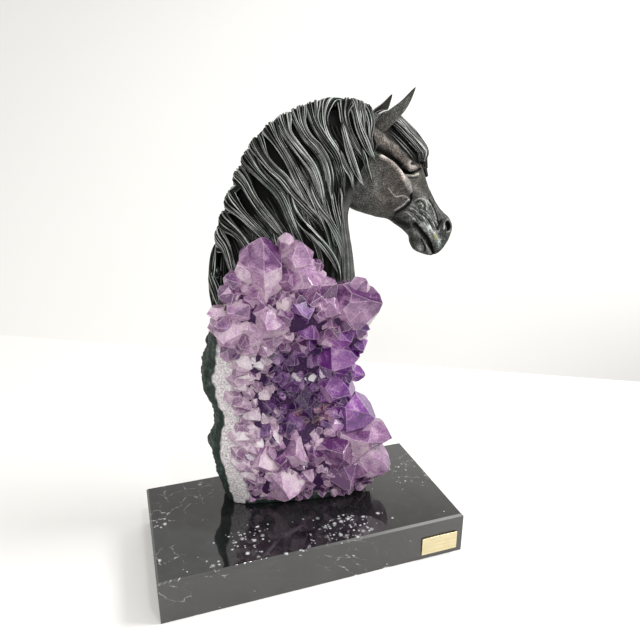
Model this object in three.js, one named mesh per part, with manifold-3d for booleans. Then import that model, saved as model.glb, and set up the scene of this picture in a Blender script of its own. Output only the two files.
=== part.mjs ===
// Horse-head bust with a long mane, seated on an amethyst geode that stands on a polished marble plinth.
// Millimetres, +Z up. The origin is the centre of the plinth's underside. The horse looks along +X and its
// mane falls on its right side, which faces -Y.
import * as THREE from "three";
import { mergeVertices } from "three/addons/utils/BufferGeometryUtils.js";
import Module from "manifold-3d";

const wasm = await Module();
wasm.setup();

// Driving dimensions
const FIT_GAP = 0.3; // left between pieces that touch
const LEAST_DETAIL = 0.04; // edges shorter than about this are merged away
const PLINTH_LENGTH = 200;
const PLINTH_WIDTH = 98;
const PLINTH_HEIGHT = 29;
const PLINTH_CHAMFER = 1.4;
const PLATE_LENGTH = 26;
const PLATE_HEIGHT = 13;
const PLATE_THICKNESS = 0.8;
const PLATE_END_INSET = 4.5; // from the plinth's right end
const PLATE_FOOT_INSET = 4; // above the plinth's underside
const GEODE_WIDTH = 104;
const GEODE_DEPTH = 40;
const GEODE_HEIGHT = 170; // of the rock, without the crystal points above it
const GEODE_TURN = -10; // degrees about Z, right end towards the viewer
const SEAT_HEIGHT = 131; // of the ledge ground for the neck, above the geode's foot
const POCKET_DEPTH = 17;
const CRYSTAL_SIZE = 12.5; // radius of the largest points
const HORSE_HEIGHT = 137; // seat to ear tips

// Places that follow from them
const GEODE_FOOT = PLINTH_HEIGHT + FIT_GAP;
const GEODE_Y = 0.2 * PLINTH_WIDTH;
const SEAT_Z = GEODE_FOOT + SEAT_HEIGHT;
const HORSE_FOOT = SEAT_Z + FIT_GAP;
const HORSE_Y = GEODE_Y + 0.06 * GEODE_DEPTH;
const WALL_Y = HORSE_Y - 0.155 * HORSE_HEIGHT; // back of the crust that stands in front of the neck

// General helpers

// Repeatable random numbers from 0 to 1.
function randomFrom(seed) {
  let state = seed;
  return () => {
    state = (state + 0x6d2b79f5) | 0;
    let t = Math.imul(state ^ (state >>> 15), 1 | state);
    t = (t + Math.imul(t ^ (t >>> 7), 61 | t)) ^ t;
    return ((t ^ (t >>> 14)) >>> 0) / 4294967296;
  };
}

const mix = (a, b, t) => a + (b - a) * t;
const bell = (t) => Math.exp(-t * t);
const smoothStep = (t) => {
  const c = Math.min(1, Math.max(0, t));
  return c * c * (3 - 2 * c);
};
const vec = (x, y, z) => new THREE.Vector3(x, y, z);

// A closed geometry as a solid, turned to face outwards.
function solidOf(geometry) {
  const bare = geometry.clone();
  for (const name of ["normal", "uv"]) bare.deleteAttribute(name);
  const merged = mergeVertices(bare, 1e-4);
  const make = (triVerts) =>
    new wasm.Manifold(
      new wasm.Mesh({ numProp: 3, vertProperties: merged.attributes.position.array, triVerts }),
    );
  const made = make(new Uint32Array(merged.index.array));
  return made.volume() < 0 ? make(new Uint32Array(merged.index.array).reverse()) : made;
}

function geometryOf(solid) {
  const { vertProperties, triVerts } = solid.getMesh();
  const geometry = new THREE.BufferGeometry();
  geometry.setAttribute("position", new THREE.BufferAttribute(new Float32Array(vertProperties), 3));
  geometry.setIndex(new THREE.BufferAttribute(new Uint32Array(triVerts), 1));
  geometry.computeVertexNormals();
  return geometry;
}

// Skins rings of equal point counts, and closes both ends with a fan round the ring's middle, or round a
// given tip at the last ring.
function loft(rings, tip) {
  const count = rings[0].length;
  const points = rings.flat();
  const faces = [];
  for (let r = 0; r + 1 < rings.length; r += 1)
    for (let i = 0; i < count; i += 1) {
      const [a, b] = [r * count + i, r * count + ((i + 1) % count)];
      faces.push(a, b, b + count, a, b + count, a + count);
    }
  const middleOf = (ring) => ring.reduce((sum, p) => sum.add(p), vec(0, 0, 0)).divideScalar(count);
  const cap = (middle, first, order) => {
    points.push(middle);
    for (let i = 0; i < count; i += 1) {
      const [a, b] = [first + i, first + ((i + 1) % count)];
      faces.push(points.length - 1, ...(order ? [b, a] : [a, b]));
    }
  };
  const last = rings.length - 1;
  cap(middleOf(rings[0]), 0, true);
  cap(tip ?? middleOf(rings[last]), last * count, false);
  return new THREE.BufferGeometry().setFromPoints(points).setIndex(faces);
}

// A box solid from its lowest to its highest corner.
function block(low, high) {
  const size = vec(...high).sub(vec(...low));
  const box = new THREE.BoxGeometry(size.x, size.y, size.z);
  const middle = vec(...low).addScaledVector(size, 0.5);
  return solidOf(box.translate(middle.x, middle.y, middle.z));
}

const joined = (solids) => solids.reduce((all, one) => all.add(one));

// The main body of a solid, without the voids sealed in it, the chips that a cut leaves, and detail finer
// than LEAST_DETAIL.
const mainBody = (solid) =>
  solid
    .simplify(LEAST_DETAIL)
    .decompose()
    .reduce((a, b) => (b.volume() > a.volume() ? b : a));

// A smooth curve through points, read at 0 to 1 with equal steps from point to point.
const spline = (points) => new THREE.CatmullRomCurve3(points.map((p) => vec(...p)));

// Plinth and maker's plate

function plinth() {
  const [halfLength, halfWidth] = [PLINTH_LENGTH / 2, PLINTH_WIDTH / 2];
  const ring = (inset, z) =>
    [[-1, -1], [1, -1], [1, 1], [-1, 1]].map(([x, y]) =>
      vec(x * (halfLength - inset), y * (halfWidth - inset), z),
    );
  return solidOf(
    loft([ring(0, 0), ring(0, PLINTH_HEIGHT - PLINTH_CHAMFER), ring(PLINTH_CHAMFER, PLINTH_HEIGHT)]),
  );
}

function plate() {
  const right = PLINTH_LENGTH / 2 - PLATE_END_INSET;
  const back = -PLINTH_WIDTH / 2 - FIT_GAP;
  return block(
    [right - PLATE_LENGTH, back - PLATE_THICKNESS, PLATE_FOOT_INSET],
    [right, back, PLATE_FOOT_INSET + PLATE_HEIGHT],
  );
}

// Geode. Its own frame has the origin at its foot, X along its width and -Y towards the viewer.
// Places on it are shares of its width and height.

// Reach of the rock to the left, to the right and to the front at equal steps of height, as shares of half
// its size. The top two steps are the crown of crust that stands in front of the horse's neck.
const geodeSpread = spline([
  [0.9, 0.94, 0.94], [1.0, 1.1, 1.04], [1.06, 1.0, 0.94], [1.0, 0.82, 0.84],
  [1.1, 0.78, 0.88], [1.06, 0.86, 1.08], [0.96, 0.93, 1.34], [0.8, 0.5, 1.32], [0.5, 0.22, 1.05],
]);
const FACE_POWER = 0.5; // square-cornered face
const BACK_POWER = 0.85; // rounded back
const POCKET = { x: 0.06, z: 0.5, halfWidth: 0.24, halfHeight: 0.22 };

// How deep the hollow in the geode's face is there, from 0 at its rim to 1.
function pocketAt(x, z) {
  const across = (x / GEODE_WIDTH - POCKET.x) / POCKET.halfWidth;
  const up = (z / GEODE_HEIGHT - POCKET.z) / POCKET.halfHeight;
  return Math.exp(-(across ** 4) - up ** 4);
}

// Rough, repeatable ripple of the rind, from -1 to 1.
const rindRipple = (angle, z) =>
  0.5 * Math.sin(3.1 * angle + 0.11 * z) +
  0.3 * Math.sin(7.3 * angle - 0.23 * z + 1) +
  0.2 * Math.sin(11.7 * angle + 0.37 * z + 2);

// How far the rock reaches from its middle line on the side where x is.
function geodeReach(x, z) {
  const reach = geodeSpread.getPoint(z / GEODE_HEIGHT);
  return (GEODE_WIDTH / 2) * (x < 0 ? reach.x : reach.y);
}

// A place on the rock's skin at a height, by its angle from +X.
function geodePoint(angle, z) {
  const [c, s] = [Math.cos(angle), Math.sin(angle)];
  const power = s < 0 ? FACE_POWER : BACK_POWER;
  const deep = (GEODE_DEPTH / 2) * (s < 0 ? geodeSpread.getPoint(z / GEODE_HEIGHT).z : 1.08);
  const ripple = 1 + 0.045 * rindRipple(angle, z) * (s < 0 ? 0.3 : 1);
  const x = geodeReach(c, z) * Math.sign(c) * Math.abs(c) ** power * ripple;
  const y = deep * Math.sign(s) * Math.abs(s) ** power * ripple;
  const sunk = s < 0 ? POCKET_DEPTH * pocketAt(x, z) : 0;
  return vec(x, y + sunk, z);
}

function geodeRock() {
  const [steps, sides] = [12, 20];
  const rings = [];
  for (let r = 0; r <= steps; r += 1) {
    const ring = [];
    for (let i = 0; i < sides; i += 1)
      ring.push(geodePoint((2 * Math.PI * (i + 0.5)) / sides, (GEODE_HEIGHT * r) / steps));
    rings.push(ring);
  }
  return solidOf(loft(rings));
}

// The face of the rock at a width and height. Past the rim it is the rim's own place.
function geodeFace(x, z) {
  const share = Math.min(0.96, Math.abs(x) / geodeReach(x, z));
  return geodePoint(-Math.acos(Math.sign(x) * share ** (1 / FACE_POWER)), z);
}

// A six-sided quartz point: a slightly tapered prism under an uneven pyramid.
function crystal(foot, aim, radius, length, turn) {
  const up = aim.clone().normalize();
  const side = vec(0.31, 0.17, 0.93).cross(up).normalize();
  const other = up.clone().cross(side);
  const ring = (r, height, uneven) =>
    Array.from({ length: 6 }, (_, i) => {
      const angle = turn + (i * Math.PI) / 3;
      return foot
        .clone()
        .addScaledVector(side, r * Math.cos(angle))
        .addScaledVector(other, r * Math.sin(angle))
        .addScaledVector(up, height + (i % 2 ? uneven : -uneven));
    });
  const shoulder = length - 0.8 * radius;
  const tip = foot.clone().addScaledVector(up, length);
  return solidOf(loft([ring(0.95 * radius, 0, 0), ring(radius, shoulder, 0.14 * radius)], tip));
}

// The largest points: x and z on the face as shares of width and height, size, and aim to the right and up.
const LEADING_POINTS = [
  // crown
  [-0.17, 1.02, 1.0, -0.1, 1.2], [0.04, 1.04, 0.74, 0.2, 1.1], [-0.03, 1.08, 0.36, 0.1, 1.6],
  [-0.03, 0.94, 0.84, 0.0, 0.1], [0.09, 0.93, 0.86, 0.3, 0.2], [0.15, 0.97, 0.5, 0.5, 0.4],
  [-0.36, 0.96, 0.4, -0.9, 0.6], [-0.29, 0.99, 0.5, -0.6, 0.9], [-0.28, 0.92, 0.4, -0.3, 0.1],
  [-0.39, 0.9, 0.4, -0.9, 0.1], [-0.2, 0.89, 0.62, -0.1, 0.1],
  // shoulders
  [-0.35, 0.84, 0.6, -0.5, 0.1], [-0.4, 0.75, 0.96, -0.5, -0.2], [-0.47, 0.84, 0.36, -1.3, 0.2],
  [-0.15, 0.79, 0.94, -0.1, -0.1], [-0.03, 0.81, 0.5, 0.3, 0.0], [0.07, 0.82, 0.66, 0.2, -0.3],
  [0.23, 0.9, 0.62, 0.5, 0.8], [0.24, 0.82, 0.68, 0.2, 0.0], [0.45, 0.84, 1.0, 1.0, 0.3],
  [0.42, 0.91, 0.44, 0.6, 1.2], [0.11, 0.73, 0.68, 0.2, -0.3], [0.11, 0.66, 0.5, 0.1, -0.6],
  [-0.16, 0.67, 0.66, 0.2, -0.4],
  // right rim
  [0.32, 0.71, 0.68, 0.5, -0.2], [0.43, 0.74, 0.46, 1.2, 0.0], [0.36, 0.62, 0.86, 0.6, 0.1],
  [0.44, 0.53, 0.38, 1.3, 0.0], [0.33, 0.46, 0.74, 0.4, 0.1], [0.47, 0.35, 0.92, 0.8, 0.1],
  // foot
  [0.44, 0.25, 0.9, 0.3, 0.3], [0.59, 0.26, 0.66, 1.1, 0.1], [0.57, 0.14, 0.8, 0.8, -0.1],
  [0.28, 0.22, 0.96, 0.1, 0.4], [0.01, 0.22, 0.7, -0.1, 0.4], [0.14, 0.2, 0.5, 0.0, 0.3],
  [-0.08, 0.19, 0.54, -0.2, 0.2], [-0.21, 0.2, 0.7, -0.3, 0.2], [-0.04, 0.08, 0.9, 0.0, -0.2],
  [0.1, 0.11, 0.44, 0.2, 0.0], [0.34, 0.09, 0.74, 0.2, -0.3], [0.46, 0.12, 0.5, 0.4, 0.0],
  // pocket
  [0.05, 0.32, 0.54, 0.2, 0.5], [-0.18, 0.31, 0.5, 0.3, 0.2], [-0.16, 0.4, 0.6, 0.5, 0.0],
  [0.05, 0.47, 0.5, 0.0, 0.3], [0.01, 0.58, 0.58, 0.2, -0.3], [0.15, 0.57, 0.5, -0.1, -0.2],
  [0.18, 0.42, 0.46, -0.2, 0.3],
];
const SMALL_POINTS = { rows: 9, columns: 6, least: 0.42, most: 0.6 };

// A point that grows out of the rock, with its visible middle at shares of the geode's width and height.
function facePoint(x, z, size, aim, turn) {
  const radius = size * CRYSTAL_SIZE;
  const face = geodeFace(x * GEODE_WIDTH, Math.min(z, 0.97) * GEODE_HEIGHT);
  const foot = vec(x * GEODE_WIDTH, face.y - 0.1 * radius, z * GEODE_HEIGHT);
  foot.addScaledVector(aim.clone().normalize(), -2.1 * radius);
  return crystal(foot, aim, radius, 3 * radius, turn);
}

function leadingCrystals() {
  return LEADING_POINTS.map(([x, z, size, right, up], i) =>
    facePoint(x, z, size, vec(right, -1, up), 0.7 * i),
  );
}

// Smaller points in staggered rows where the largest ones leave room.
function smallCrystals() {
  const random = randomFrom(11);
  const { rows, columns, least, most } = SMALL_POINTS;
  const made = [];
  for (let row = 0; row < rows; row += 1)
    for (let column = 0; column < columns; column += 1) {
      const x = (column + 0.5 * (row % 2) + 0.3 * random()) / columns - 0.46;
      const z = 0.05 + (0.9 * (row + 0.3 * random())) / rows;
      const size = mix(least, most, random());
      const aim = vec(0.6 * (random() - 0.4), -1, 0.7 * (random() - 0.4));
      const turn = 2 * random();
      const room = ([otherX, otherZ, otherSize]) =>
        Math.hypot((x - otherX) * GEODE_WIDTH, (z - otherZ) * GEODE_HEIGHT) >
        0.66 * CRYSTAL_SIZE * (size + otherSize);
      const onFace = Math.abs(x) * GEODE_WIDTH < 0.95 * geodeReach(x, z * GEODE_HEIGHT);
      if (onFace && LEADING_POINTS.every(room)) made.push(facePoint(x, z, size, aim, turn));
    }
  return made;
}

function geode() {
  const whole = joined([geodeRock(), ...leadingCrystals(), ...smallCrystals()]);
  const placed = whole.rotate([0, 0, GEODE_TURN]).translate([0, GEODE_Y, GEODE_FOOT]);
  const far = 2 * GEODE_WIDTH;
  const seat = block([-far, WALL_Y, SEAT_Z], [far, far, 2 * far]);
  const underside = block([-far, -far, -far], [far, far, GEODE_FOOT]);
  return mainBody(placed.subtract(seat).subtract(underside));
}

// Horse. Every place and size on it is a share of its height in hundredths, from the middle of its seat.

// Crest and throat of the neck at matching steps from the poll to the seat, [x, half width, z].
const crest = spline([
  [42, 8, 86], [33, 9.6, 90], [22, 11, 91], [8, 12, 88], [-7, 13, 79.6],
  [-17, 14, 66], [-24.5, 14.5, 48.5], [-30, 14.5, 30], [-34.5, 14.5, -1],
]);
const throat = spline([
  [43, 7.5, 66], [36, 9, 57], [31, 10, 50], [29.4, 10.5, 45.5], [29.6, 11, 40.5],
  [30.5, 12, 34.5], [32, 12.5, 26.5], [33.5, 13, 16.5], [35.5, 13, -1],
]);

// A place on the neck: down from 0 at the poll to 1 at the seat, round from 0 at the crest to 1 at the
// throat, on the right side of the horse if side is -1, and raised by lift.
function neckPoint(down, round, side, lift = 0) {
  const [top, under] = [crest.getPoint(down), throat.getPoint(down)];
  const angle = Math.PI * round;
  const [c, s] = [Math.cos(angle), Math.sin(angle)];
  const middle = top.clone().add(under).multiplyScalar(0.5);
  const arm = top.clone().sub(under).multiplyScalar(0.5);
  arm.y = 0;
  const half = mix(top.y, under.y, smoothStep(round));
  const place = middle.addScaledVector(arm, c);
  place.y = side * half * Math.sign(s) * Math.abs(s) ** 0.9;
  const out = arm.clone().multiplyScalar(c / arm.lengthSq());
  out.y = (side * s) / half;
  return place.addScaledVector(out.normalize(), lift);
}

function neck() {
  const [steps, sides] = [11, 14];
  const rings = [];
  for (let r = 0; r <= steps; r += 1) {
    const ring = [];
    for (let i = 0; i < sides; i += 1) {
      const turn = (2 * i) / sides;
      ring.push(neckPoint(r / steps, turn <= 1 ? turn : 2 - turn, turn <= 1 ? -1 : 1));
    }
    rings.push(ring);
  }
  return solidOf(loft(rings));
}

// Face line from poll to lips and jaw line from throat to chin, at matching steps, [x, half width, z].
const faceLine = spline([
  [36, 6, 90], [45, 8, 88.5], [52, 9.6, 84], [58.5, 10.4, 77.5], [63.5, 9.8, 70.5], [67.3, 7.4, 63],
  [70.6, 5.6, 56], [74.6, 5, 49.3], [79.3, 5.2, 43.6], [83.3, 6, 40.2], [85, 5.8, 35.5],
  [83.4, 5.2, 30.5], [80.3, 4.2, 26], [77.6, 2.2, 23.6],
]);
const jawLine = spline([
  [26, 8, 62], [27.5, 9, 53], [31.5, 9.6, 47.2], [38, 9.8, 44.6], [45.5, 9, 42.4], [50.5, 7.6, 41],
  [55.5, 6, 37.8], [59.5, 5.2, 34.8], [62.3, 5, 32], [63.4, 5.2, 28.6], [65.5, 5.2, 25.2],
  [69.5, 4.8, 23.2], [73.5, 3.8, 22], [76.2, 2, 22.4],
]);

// Raised and sunk forms of the head: a path seen from the side, [x, z], its reach and its height.
const HEAD_FORMS = [
  { path: [[41, 81], [47, 75.5], [53, 71.5]], reach: 3.6, height: 1.5 }, // temple
  { path: [[54, 71.2], [58, 70.6], [62, 68.6]], reach: 3.2, height: 1.5 }, // brow
  { path: [[56.5, 66.8], [59.5, 66.2]], reach: 2.8, height: 1.4 }, // eyelid
  { path: [[45.5, 72.5], [51, 67], [54.5, 63.5]], reach: 2.8, height: -1.6 }, // hollow behind the eye
  { path: [[42.5, 70.5], [48.3, 65.6], [53, 61], [58, 55.5]], reach: 2.4, height: 1.6 }, // cheekbone
  { path: [[37, 62], [42, 56], [41, 51]], reach: 10, height: 1.4 }, // round of the jaw
  { path: [[49, 42.4], [54.5, 46], [58.5, 51.5]], reach: 3, height: -2 }, // in front of the jaw
  { path: [[61, 46], [64, 51]], reach: 4, height: -1.2 }, // side of the nose
  { path: [[77.5, 40.5], [81.5, 40.8], [82.5, 37]], reach: 2.8, height: 1.5 }, // nostril rim
  { path: [[79, 38.2], [80.4, 36.8]], reach: 2.2, height: -3.2 }, // nostril
  { path: [[60.8, 39.2], [65, 34.6], [69.5, 29.8], [74.5, 24.8]], reach: 1.7, height: -1.9 }, // mouth
  { path: [[65, 38], [71, 32.5], [77, 27]], reach: 3, height: 0.7 }, // upper lip
  { path: [[65.5, 28.5], [68, 26.6]], reach: 3.2, height: 1.2 }, // chin
];

// Distance from a place to a path of straight stretches, both seen from the side.
function sideDistance(x, z, path) {
  let nearest = Infinity;
  for (let i = 0; i + 1 < path.length; i += 1) {
    const [[ax, az], [bx, bz]] = [path[i], path[i + 1]];
    const along = ((x - ax) * (bx - ax) + (z - az) * (bz - az)) / ((bx - ax) ** 2 + (bz - az) ** 2);
    const t = Math.min(1, Math.max(0, along));
    nearest = Math.min(nearest, Math.hypot(x - mix(ax, bx, t), z - mix(az, bz, t)));
  }
  return nearest;
}

function headRelief(x, z) {
  let raised = 0;
  for (const { path, reach, height } of HEAD_FORMS)
    raised += height * bell((1.3 * sideDistance(x, z, path)) / reach);
  return raised;
}

// A place on the head: along from 0 at the poll to 1 at the lips, round from 0 at the face line to 1 at
// the jaw line, on either side.
function headPoint(along, round, side) {
  const [top, under] = [faceLine.getPoint(along), jawLine.getPoint(along)];
  const angle = Math.PI * round;
  const s = Math.sin(angle);
  const place = top.clone().lerp(under, (1 - Math.cos(angle)) / 2);
  const full = mix(top.y, under.y, smoothStep(round)) * s ** 0.72;
  place.y = side * Math.max(0, full + headRelief(place.x, place.z) * s ** 1.5);
  return place;
}

function head() {
  const [steps, sides] = [28, 20];
  const rings = [];
  for (let r = 0; r <= steps; r += 1) {
    const ring = [];
    for (let i = 0; i < sides; i += 1) {
      const turn = (2 * i) / sides;
      ring.push(headPoint(r / steps, turn <= 1 ? turn : 2 - turn, turn <= 1 ? -1 : 1));
    }
    rings.push(ring);
  }
  return solidOf(loft(rings));
}

// A tapering form along a curve. Its section is an oval given by its half sizes across and out. A cup above 1
// pushes the oval's inner half past its middle, so that it is hollow on that side.
function tapered(path, steps, sides, { across, out, acrossAxis, cup = 0 }) {
  const rings = [];
  for (let r = 0; r <= steps; r += 1) {
    const t = r / steps;
    const centre = path.getPoint(t);
    const ahead = path.getTangent(t);
    const wide = acrossAxis(t).projectOnPlane(ahead).normalize();
    const thick = ahead.clone().cross(wide);
    const ring = [];
    for (let i = 0; i < sides; i += 1) {
      const angle = (2 * Math.PI * i) / sides;
      const s = Math.sin(angle);
      ring.push(
        centre
          .clone()
          .addScaledVector(wide, across(t) * Math.cos(angle))
          .addScaledVector(thick, out(t) * (s < 0 ? s * (1 - cup) : s)),
      );
    }
    rings.push(ring);
  }
  return solidOf(loft(rings));
}

function ear(side) {
  const back = side > 0 ? 1 : 0; // the left ear is laid back a little
  const path = spline([
    [41.5, 5 * side, 82], [45.5 - 0.6 * back, 6.6 * side, 88.5], [51 - 1.6 * back, 8 * side, 94 - back],
    [57.5 - 3 * back, 8.6 * side, 100 - 2.5 * back],
  ]);
  const swell = (t) => Math.sin(Math.PI * (0.3 + 0.7 * t)) ** 0.8;
  return tapered(path, 7, 10, {
    across: (t) => 0.15 + 3.7 * swell(t),
    out: (t) => 0.25 + 2.2 * swell(t),
    acrossAxis: () => vec(0.62 * side, 0.44, -0.64 * side),
    cup: 1.45,
  });
}

// One lock of hair on the neck: it leaves the crest, swings out and lies down along the side.
function maneLock({ start, sweep, root, reach, side, width, wave }) {
  const steps = 8;
  const points = [];
  for (let i = 0; i <= steps; i += 1) {
    const t = i / steps;
    const down = Math.min(0.995, start + sweep * t ** 1.4 + wave * Math.sin(2 * Math.PI * t ** 0.8));
    const lift = 0.2 + 2.4 * Math.sin(Math.PI * (0.35 + 0.65 * t));
    points.push(neckPoint(down, mix(root, reach, t), side, lift).toArray());
  }
  const path = spline(points);
  return tapered(path, 6, 5, {
    across: (t) => width * (0.1 + 0.9 * Math.sin(Math.PI * (0.06 + 0.83 * t))),
    out: (t) => 0.15 + 2.7 * Math.sin(Math.PI * (0.06 + 0.88 * t)),
    acrossAxis: (t) => path.getTangent(t).cross(vec(0, side, 0.1)),
  });
}

const NEAR_LOCKS = { count: 13, first: 0.06, last: 0.9, root: -0.2, width: 4.4, wave: 0.03 };
const FAR_LOCKS = { count: 7, first: 0.07, last: 0.86, root: -0.05, width: 4, wave: 0.02 };

function mane() {
  const locks = [];
  for (let i = 0; i < NEAR_LOCKS.count; i += 1) {
    const share = i / (NEAR_LOCKS.count - 1);
    const uneven = Math.sin(5 * i);
    locks.push(
      maneLock({
        start: mix(NEAR_LOCKS.first, NEAR_LOCKS.last, share),
        sweep: mix(-0.01, 0.17, smoothStep(1.8 * share - 0.4)) + 0.015 * uneven,
        root: NEAR_LOCKS.root,
        reach: mix(0.76 + 0.06 * uneven, 0.16, smoothStep(2.4 * share - 1.3)),
        side: -1,
        width: NEAR_LOCKS.width * (1 + 0.15 * uneven),
        wave: NEAR_LOCKS.wave * (1 - 0.6 * share),
      }),
    );
  }
  for (let i = 0; i < FAR_LOCKS.count; i += 1)
    locks.push(
      maneLock({
        start: mix(FAR_LOCKS.first, FAR_LOCKS.last, i / (FAR_LOCKS.count - 1)),
        sweep: 0.06,
        root: FAR_LOCKS.root,
        reach: 0.3,
        side: 1,
        width: FAR_LOCKS.width,
        wave: FAR_LOCKS.wave,
      }),
    );
  return locks;
}

// Locks that fall forward between the ears and over the brow, by how far left of the middle they start and
// how far they stand off the face.
const FORELOCK = [
  { left: -2.4, stand: 0.6, tip: [62, -9, 68] },
  { left: -0.8, stand: 2.2, tip: [67, -3.5, 64.5] },
  { left: 1.2, stand: 2.8, tip: [70.5, 2, 60] },
  { left: 3.2, stand: 1.6, tip: [67.5, 7.5, 59] },
];

function forelock() {
  return FORELOCK.map(({ left, stand, tip }) => {
    const path = spline([
      [36.4, left, 88.6], [47, 1.2 * left, 87.3 + 0.3 * stand], [56.5, 1.7 * left, 79.8 + stand],
      [63.6 + 0.7 * stand, 2.2 * left, 72 + 0.5 * stand], tip,
    ]);
    return tapered(path, 6, 6, {
      across: (t) => 0.4 + 4 * Math.sin(Math.PI * (0.25 + 0.66 * t)),
      out: (t) => 0.4 + 3 * (1 - 0.75 * t),
      acrossAxis: () => vec(0, 1, 0),
    });
  });
}

function horse() {
  const unit = HORSE_HEIGHT / 100;
  const whole = joined([neck(), head(), ear(-1), ear(1), ...mane(), ...forelock()]);
  const placed = whole.scale(unit).translate([0, HORSE_Y, HORSE_FOOT]);
  const far = 2 * HORSE_HEIGHT;
  const belowSeat = block([-far, -far, -far], [far, far, HORSE_FOOT]);
  const crustTop = GEODE_FOOT + 1.2 * GEODE_HEIGHT;
  const crust = block([-far, -far, 0], [far, WALL_Y + FIT_GAP, crustTop]);
  return mainBody(placed.subtract(belowSeat).subtract(crust));
}

const marble = new THREE.MeshStandardMaterial({ color: 0x17181a, roughness: 0.12, metalness: 0 });
const brass = new THREE.MeshStandardMaterial({ color: 0xd8bd72, roughness: 0.3, metalness: 1 });
const amethyst = new THREE.MeshStandardMaterial({ color: 0x8a63a8, roughness: 0.25, metalness: 0 });
const darkResin = new THREE.MeshStandardMaterial({ color: 0x34353a, roughness: 0.45, metalness: 0.4 });

const sculpture = new THREE.Group();
for (const [name, solid, material] of [
  ["plinth", plinth(), marble],
  ["maker_plate", plate(), brass],
  ["amethyst_geode", geode(), amethyst],
  ["horse_bust", horse(), darkResin],
]) {
  const mesh = new THREE.Mesh(geometryOf(solid), material);
  mesh.name = name;
  sculpture.add(mesh);
}

export default sculpture;
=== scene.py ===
"""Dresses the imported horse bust, geode and plinth: carved head, combed mane, crystals, marble, brass."""

import math

import bmesh
import bpy
import numpy as np
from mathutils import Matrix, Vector


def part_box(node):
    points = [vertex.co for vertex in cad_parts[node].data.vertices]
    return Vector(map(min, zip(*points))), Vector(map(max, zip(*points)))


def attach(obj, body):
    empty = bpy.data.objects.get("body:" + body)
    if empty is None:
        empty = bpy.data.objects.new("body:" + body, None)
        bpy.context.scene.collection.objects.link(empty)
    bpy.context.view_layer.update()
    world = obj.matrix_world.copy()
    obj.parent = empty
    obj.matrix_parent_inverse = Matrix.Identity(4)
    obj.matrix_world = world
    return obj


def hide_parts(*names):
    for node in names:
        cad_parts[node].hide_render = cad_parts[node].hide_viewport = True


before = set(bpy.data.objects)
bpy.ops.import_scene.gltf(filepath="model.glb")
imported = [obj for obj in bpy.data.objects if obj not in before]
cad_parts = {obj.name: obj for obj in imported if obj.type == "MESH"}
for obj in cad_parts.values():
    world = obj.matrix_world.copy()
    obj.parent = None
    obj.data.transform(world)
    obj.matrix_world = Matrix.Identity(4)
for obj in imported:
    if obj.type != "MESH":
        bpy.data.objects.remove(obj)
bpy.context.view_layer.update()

MM = 0.001
PLINTH_SIZE = (200, 98, 29)
PLINTH_CHAMFER = 1.4
GEODE_WIDTH, GEODE_DEPTH, GEODE_HEIGHT = 104, 40, 170
GEODE_TURN = math.radians(-10)
GEODE_PLACE = (0, 19.6, 29.3)
SEAT_HEIGHT = 131
POCKET_DEPTH = 17
CRYSTAL_SIZE = 12.5
HORSE_PLACE = (0, 22, 160.6)
HORSE_UNIT = 1.37  # millimetres in a hundredth of the horse's height
WALL_Y = 0.765  # back of the crust in front of the neck
CRUST_THICKNESS = 2.2
CROWN_DEPTH = 2  # how far before that back the feet of the crown's crystals stay
POINT_SLOPE = 38.2  # degrees from a quartz crystal's side to the way its point's faces look
EDGE_LINE = 0.75  # how far the painted highlight along a crystal's edge reaches in
SHARP_EDGE = math.radians(18)  # edges sharper than this are bevelled
CRYSTAL_JITTER = 0.07  # how far a crystal's faces turn and tilt away from the regular form
FOOT_LIGHT = 0.6  # how much paler a crystal is at its foot than at its point
POCKET_MIDDLE, POCKET_HALF = (0.06, 0.5), (0.24, 0.22)
# Rows and columns of the closed tubes that make the larger forms.
HEAD_GRID = (280, 270)
NECK_GRID = (220, 200)
EAR_GRID = (70, 56)
ROCK_GRID = (210, 340)
CRUST_GRID = (90, 150)
LOCK_ROWS = 44
CORE_SIDES, STRAND_SIDES = 12, 6


# Numbers and curves


def smooth_step(t):
    t = np.clip(t, 0, 1)
    return t * t * (3 - 2 * t)


def mix(a, b, t):
    return a + (b - a) * t


def unit(v):
    return v / np.maximum(np.linalg.norm(v, axis=-1, keepdims=True), 1e-9)


def curve(points, t):
    """Centripetal Catmull-Rom curve, read at 0 to 1 with equal steps from point to point."""
    p = np.asarray(points, float)
    p = np.vstack([2 * p[0] - p[1], p, 2 * p[-1] - p[-2]])
    t = np.clip(np.atleast_1d(t), 0, 1) * (len(p) - 3)
    i = np.minimum(t.astype(int), len(p) - 4)
    u = (t - i)[:, None]
    a, b, c, d = (p[i + k] for k in range(4))
    g0, g1, g2 = (
        np.maximum(np.linalg.norm(n - m, axis=1), 1e-4)[:, None] ** 0.5 for m, n in ((a, b), (b, c), (c, d))
    )
    m1 = ((b - a) / g0 - (c - a) / (g0 + g1) + (c - b) / g1) * g1
    m2 = ((c - b) / g1 - (d - b) / (g1 + g2) + (d - c) / g2) * g1
    return b + m1 * u + (3 * (c - b) - 2 * m1 - m2) * u**2 + (2 * (b - c) + m1 + m2) * u**3


def noise(points, size, seed=0):
    """Smooth repeatable noise from -1 to 1, with features of about that size."""
    q = np.asarray(points, float) / size + 0.37 * seed
    cell = np.floor(q).astype(np.int64)
    f = q - cell
    f = f * f * (3 - 2 * f)
    total = np.zeros(q.shape[:-1])
    primes = np.array([73856093, 19349663, 83492791][: q.shape[-1]])
    for corner in np.ndindex(*(2,) * q.shape[-1]):
        o = np.array(corner)
        h = (((cell + o) * primes).sum(-1) + seed * 7919) & 0x7FFFFFFF
        h = ((h ^ (h >> 13)) * 1274126177) & 0x7FFFFFFF
        h = ((h ^ (h >> 15)) * 668265263) & 0x7FFFFFFF
        total += ((h >> 8) & 0xFFFF) / 32767.5 * np.prod(np.where(o, f, 1 - f), axis=-1)
    return total - 1


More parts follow.
